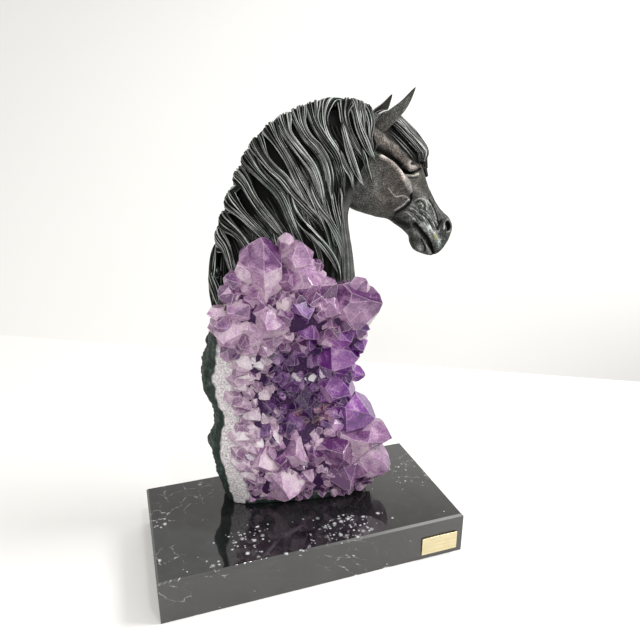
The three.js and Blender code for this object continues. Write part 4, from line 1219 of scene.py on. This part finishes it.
def plinth():
    """A polished block with a fine chamfer round its top, a painted highlight along the front of it, and
    small chips along its lower edge.
    """
    length, width, height = PLINTH_SIZE
    corners = [(-1, -1), (1, -1), (1, 1), (-1, 1)]
    outline, way, clear = [], [], []
    for (ax, ay), (bx, by) in zip(corners, corners[1:] + corners[:1]):
        along = length if ax != bx else width
        steps = 240 if ax != bx else 120
        for k in range(steps):
            t = k / steps
            outline.append([mix(ax, bx, t) * length / 2, mix(ay, by, t) * width / 2])
            way.append([0.0, -ay] if ax != bx else [-ax, 0.0])
            clear.append(smooth_step(min(t, 1 - t) * along / 4 - 0.5))
    outline, way, clear = np.array(outline), np.array(way, float), np.array(clear)
    half = np.array([length / 2, width / 2])
    flat = np.concatenate([outline, np.zeros((len(outline), 1))], 1)
    nick = smooth_step((rough(flat, 9, 2, 31) - 0.62) * 3) * (0.6 + 0.6 * noise(flat, 1.6, 5))
    nick = clear * np.clip(nick + 0.12 * np.maximum(0, rough(flat, 1.3, 2, 7)), 0, 1.3)
    fine = 0.05 * clear * rough(flat, 1.5, 2, 17)
    # Pale along the top chamfer: a little wear all round, and along the front a painted highlight that
    # grows to the right.
    wear_and_highlight = 0.06 + 0.3 * smooth_step((outline[:, 0] + 20) / 100) * (way[:, 1] > 0)
    rings, worn = [], []
    for inset, ragged, z, wear in (
        (0.25, nick, 0 * nick, 0.2 + nick),
        (0.0, 0.4 * nick, 0.25 + 0.9 * nick, 0.5 * nick + 0.1),
        (0.0, 0 * nick, 0.5 + 1.4 * nick, 0 * nick),
        (0.0, 0 * nick, 0 * nick + height - PLINTH_CHAMFER - 0.05, 0 * nick),
        (0.12, 0.3 * fine, 0 * nick + height - PLINTH_CHAMFER + 0.1, wear_and_highlight),
        (PLINTH_CHAMFER - 0.12, fine, 0 * nick + height - 0.1, wear_and_highlight),
        (PLINTH_CHAMFER, 0 * nick, 0 * nick + height, 0 * nick),
    ):
        place = outline * (1 - inset / half) + way * ragged[:, None]
        rings.append(np.concatenate([place, z[:, None]], 1))
        worn.append(np.clip(wear, 0, 0.8))
    count, last = len(outline), (len(rings) - 1) * len(outline)
    points = np.vstack([np.array(rings).reshape(-1, 3), [[0, 0, rings[0][0][2]], [0, 0, height]]]) * MM
    bottom, top = len(points) - 2, len(points) - 1
    faces = skin(len(rings), count)[:-2]
    for i in range(count):
        j = (i + 1) % count
        faces += [[j, i, bottom], [last + i, last + j, top]]
    pile = Pile()
    pile.add(points, faces, worn=np.append(np.ravel(worn), [0, 0]))
    return pile


def plate():
    """A bare plate with rounded corners and a fine rounded edge at its front."""
    low, high = (np.array(c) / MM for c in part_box("maker_plate"))
    middle, half = (low + high) / 2, (high - low) / 2
    corner, steps = 0.7, 8
    rings = []
    for inset, y in ((0.0, high[1]), (0.0, low[1] + 0.2), (0.06, low[1] + 0.06), (0.2, low[1])):
        ring = []
        for cx, cz, first in ((1, 1, 0), (-1, 1, 1), (-1, -1, 2), (1, -1, 3)):
            for k in range(steps + 1):
                angle = (first + k / steps) * math.pi / 2
                x = middle[0] + cx * (half[0] - corner) + (corner - inset) * math.cos(angle)
                z = middle[2] + cz * (half[2] - corner) + (corner - inset) * math.sin(angle)
                ring.append([x, y, z])
        rings.append(ring)
    pile = Pile()
    pile.add(np.array(rings) * MM, skin(len(rings), len(rings[0])))
    return pile


# Dressing

resin = resin_material("resin", 0.5, 0.06, 0.13)
hair = resin_material("resin_hair", 0.6, 0.05, 0.05)
stone = rock_material()
pale, violet, deep, pink, clear, rusty, worn = (
    crystal_material(*look)
    for look in (
        ("amethyst_pale", (0.13, 0.035, 0.15), (0.5, 0.27, 0.49), (0.88, 0.72, 0.8), 0.4),
        ("amethyst_violet", (0.08, 0.006, 0.15), (0.3, 0.07, 0.4), (0.76, 0.46, 0.76), 0.4),
        ("amethyst_deep", (0.035, 0.004, 0.07), (0.23, 0.09, 0.3), (0.66, 0.46, 0.72), 0.3, 0.1),
        ("amethyst_pink", (0.24, 0.11, 0.24), (0.57, 0.4, 0.53), (0.9, 0.82, 0.87), 0.35),
        ("quartz_white", (0.6, 0.5, 0.62), (0.84, 0.8, 0.86), (0.93, 0.91, 0.93), 0.3),
        ("amethyst_rusty", (0.05, 0.008, 0.03), (0.2, 0.06, 0.15), (0.66, 0.44, 0.54), 0.3, 0.15),
        ("quartz_yellow", (0.5, 0.36, 0.22), (0.78, 0.68, 0.5), (0.92, 0.88, 0.76), 0.15),
    )
)

for name, pile, material in (
    ("carved_head", head(), resin),
    ("carved_neck", neck(), hair),
    ("ears", ears(), resin),
    ("mane_near", near_mane(), hair),
    ("mane_under", under_mane(), hair),
    ("mane_falls", falls(), hair),
    ("mane_far", far_mane(), hair),
    ("forelock", forelock(), hair),
):
    make(name, pile, "horse_bust", material)

make("geode_rock", rock(), "amethyst_geode", stone)
make("geode_crust", crust(), "amethyst_geode", stone)
for name, pile, material, edge in (
    ("points_crown", leading(CROWN_POINTS, (-0.05, 0.6), 2, turn=0.45), pale, 0.12),
    ("points_rim", leading(RIM_POINTS, (-0.1, 0.4), 3), violet, 0.12),
    ("points_foot", leading(FOOT_POINTS, (-0.15, 0.45), 4, 1.45), pale, 0.12),
    ("points_pocket", leading(POCKET_POINTS, (-0.1, 0.4), 6), deep, 0.12),
    ("druse_upper", small_points(upper_druse, (0.32, 0.62), 5.8, (-0.2, 0.6), (0, 0.1), 14), pale, 0.1),
    ("druse_lower", small_points(lower_druse, (0.25, 0.45), 6, (-0.25, 0.5), (0, 0.1), 15), pale, 0.1),
    ("druse_pocket", small_points(pocket_druse, (0.26, 0.62), 6, (-0.4, 0.5), (0, 0), 16), deep, 0.08),
    ("druse_right", small_points(right_druse, (0.3, 0.58), 6.5, (-0.2, 0.4), (0.4, 0), 17), violet, 0.1),
    (
        "druse_left",
        small_points(left_druse, (0.28, 0.54), 5.4, (-0.1, 0.6), (0.9, -0.5), 24, 1.1), pink, 0.06,
    ),
    ("rusty_fins", leading(FIN_POINTS, (-0.1, 0.6), 22, 1.4, 3.6), rusty, 0.06),
    ("white_shards", leading(WHITE_POINTS, (0.2, 0.7), 19), clear, 0.08),
    ("yellow_crust", leading(YELLOW_POINTS, (0.2, 0.7), 20), worn, 0.08),
):
    bevelled(make(name, pile, "amethyst_geode", material, smooth=False), edge)

make("marble_block", plinth(), "plinth", marble_material(), smooth=False)
make("brass_plate", plate(), "maker_plate", brass_material(), smooth=False)

# Camera, floor, backdrop and lights

PICTURE = 640  # pixels across and down
FOCAL_LENGTH = 602.8  # pixels
SENSOR = 36
CAMERA_PLACE = Vector((-0.0991, -0.3392, 0.2849))
YAW, PITCH = math.radians(18.56), math.radians(19.24)
WALL_LINE = ((0, 335), (PICTURE, 382))  # where the floor ends, in pixels of the picture
FLOOR_MARGIN, FLOOR_DEPTH, BACKDROP_RISE = 2, 3, 2.2

view = Vector((math.sin(YAW) * math.cos(PITCH), math.cos(YAW) * math.cos(PITCH), -math.sin(PITCH)))
camera_data = bpy.data.cameras.new("camera")
camera_data.sensor_width = SENSOR
camera_data.lens = FOCAL_LENGTH / PICTURE * SENSOR
camera_data.clip_start = 0.01
camera = bpy.data.objects.new("camera", camera_data)
camera.location = CAMERA_PLACE
camera.rotation_euler = view.to_track_quat("-Z", "Y").to_euler()
bpy.context.scene.collection.objects.link(camera)
bpy.context.scene.camera = camera


def sheet(name, corners, material):
    """A flat surface of the studio."""
    mesh = bpy.data.meshes.new(name)
    mesh.from_pydata(corners, [], [(0, 1, 2, 3)])
    mesh.materials.append(material)
    piece = bpy.data.objects.new(name, mesh)
    bpy.context.scene.collection.objects.link(piece)


def on_floor(px, py):
    """The place on the floor that the camera sees at a pixel of the picture."""
    right = view.cross(Vector((0, 0, 1))).normalized()
    up = right.cross(view)
    ray = view * FOCAL_LENGTH + right * (px - PICTURE / 2) + up * (PICTURE / 2 - py)
    return CAMERA_PLACE - ray * (CAMERA_PLACE.z / ray.z)


left, right = (on_floor(*pixel) for pixel in WALL_LINE)
run = (right - left).normalized()
back_left, back_right = left - run * FLOOR_MARGIN, right + run * FLOOR_MARGIN
toward = run.cross(Vector((0, 0, 1)))
front_left, front_right = back_left + toward * FLOOR_DEPTH, back_right + toward * FLOOR_DEPTH
sheet(
    "floor",
    [front_left, front_right, back_right, back_left],
    plain_material("floor", (0.84, 0.83, 0.81), 0.5),
)
lift = Vector((0, 0, BACKDROP_RISE)) - toward * BACKDROP_RISE
# The backdrop carries painted shade low down on its right.
sheet(
    "backdrop",
    [back_left, back_right, back_right + lift, back_left + lift],
    plain_material("backdrop", (0.79, 0.78, 0.76), 0.7, 0.65),
)

world = bpy.data.worlds.new("world")
world.use_nodes = True
background = world.node_tree.nodes["Background"].inputs
background["Color"].default_value = (1, 0.99, 0.97, 1)
background["Strength"].default_value = 0.8
bpy.context.scene.world = world
bpy.context.scene.view_settings.view_transform = "Standard"


LIT_PLACE = Vector((0, 0, 0.15))


def area_light(name, place, size, power, colour=(1, 1, 1)):
    """A lamp of that width and height that shines on the sculpture's middle."""
    data = bpy.data.lights.new(name, "AREA")
    data.shape = "RECTANGLE"
    data.size, data.size_y = size
    data.energy = power
    data.color = colour
    light = bpy.data.objects.new(name, data)
    light.location = place
    light.rotation_euler = (LIT_PLACE - Vector(place)).to_track_quat("-Z", "Y").to_euler()
    bpy.context.scene.collection.objects.link(light)


area_light("key", (0.8, -0.25, 1.0), (0.4, 0.4), 12)
area_light("window", (-0.35, -0.9, 1.0), (0.5, 0.3), 4, (1, 0.99, 0.97))
area_light("lamp", (0.15, -0.75, 1.3), (0.12, 0.12), 3)

bpy.context.view_layer.update()
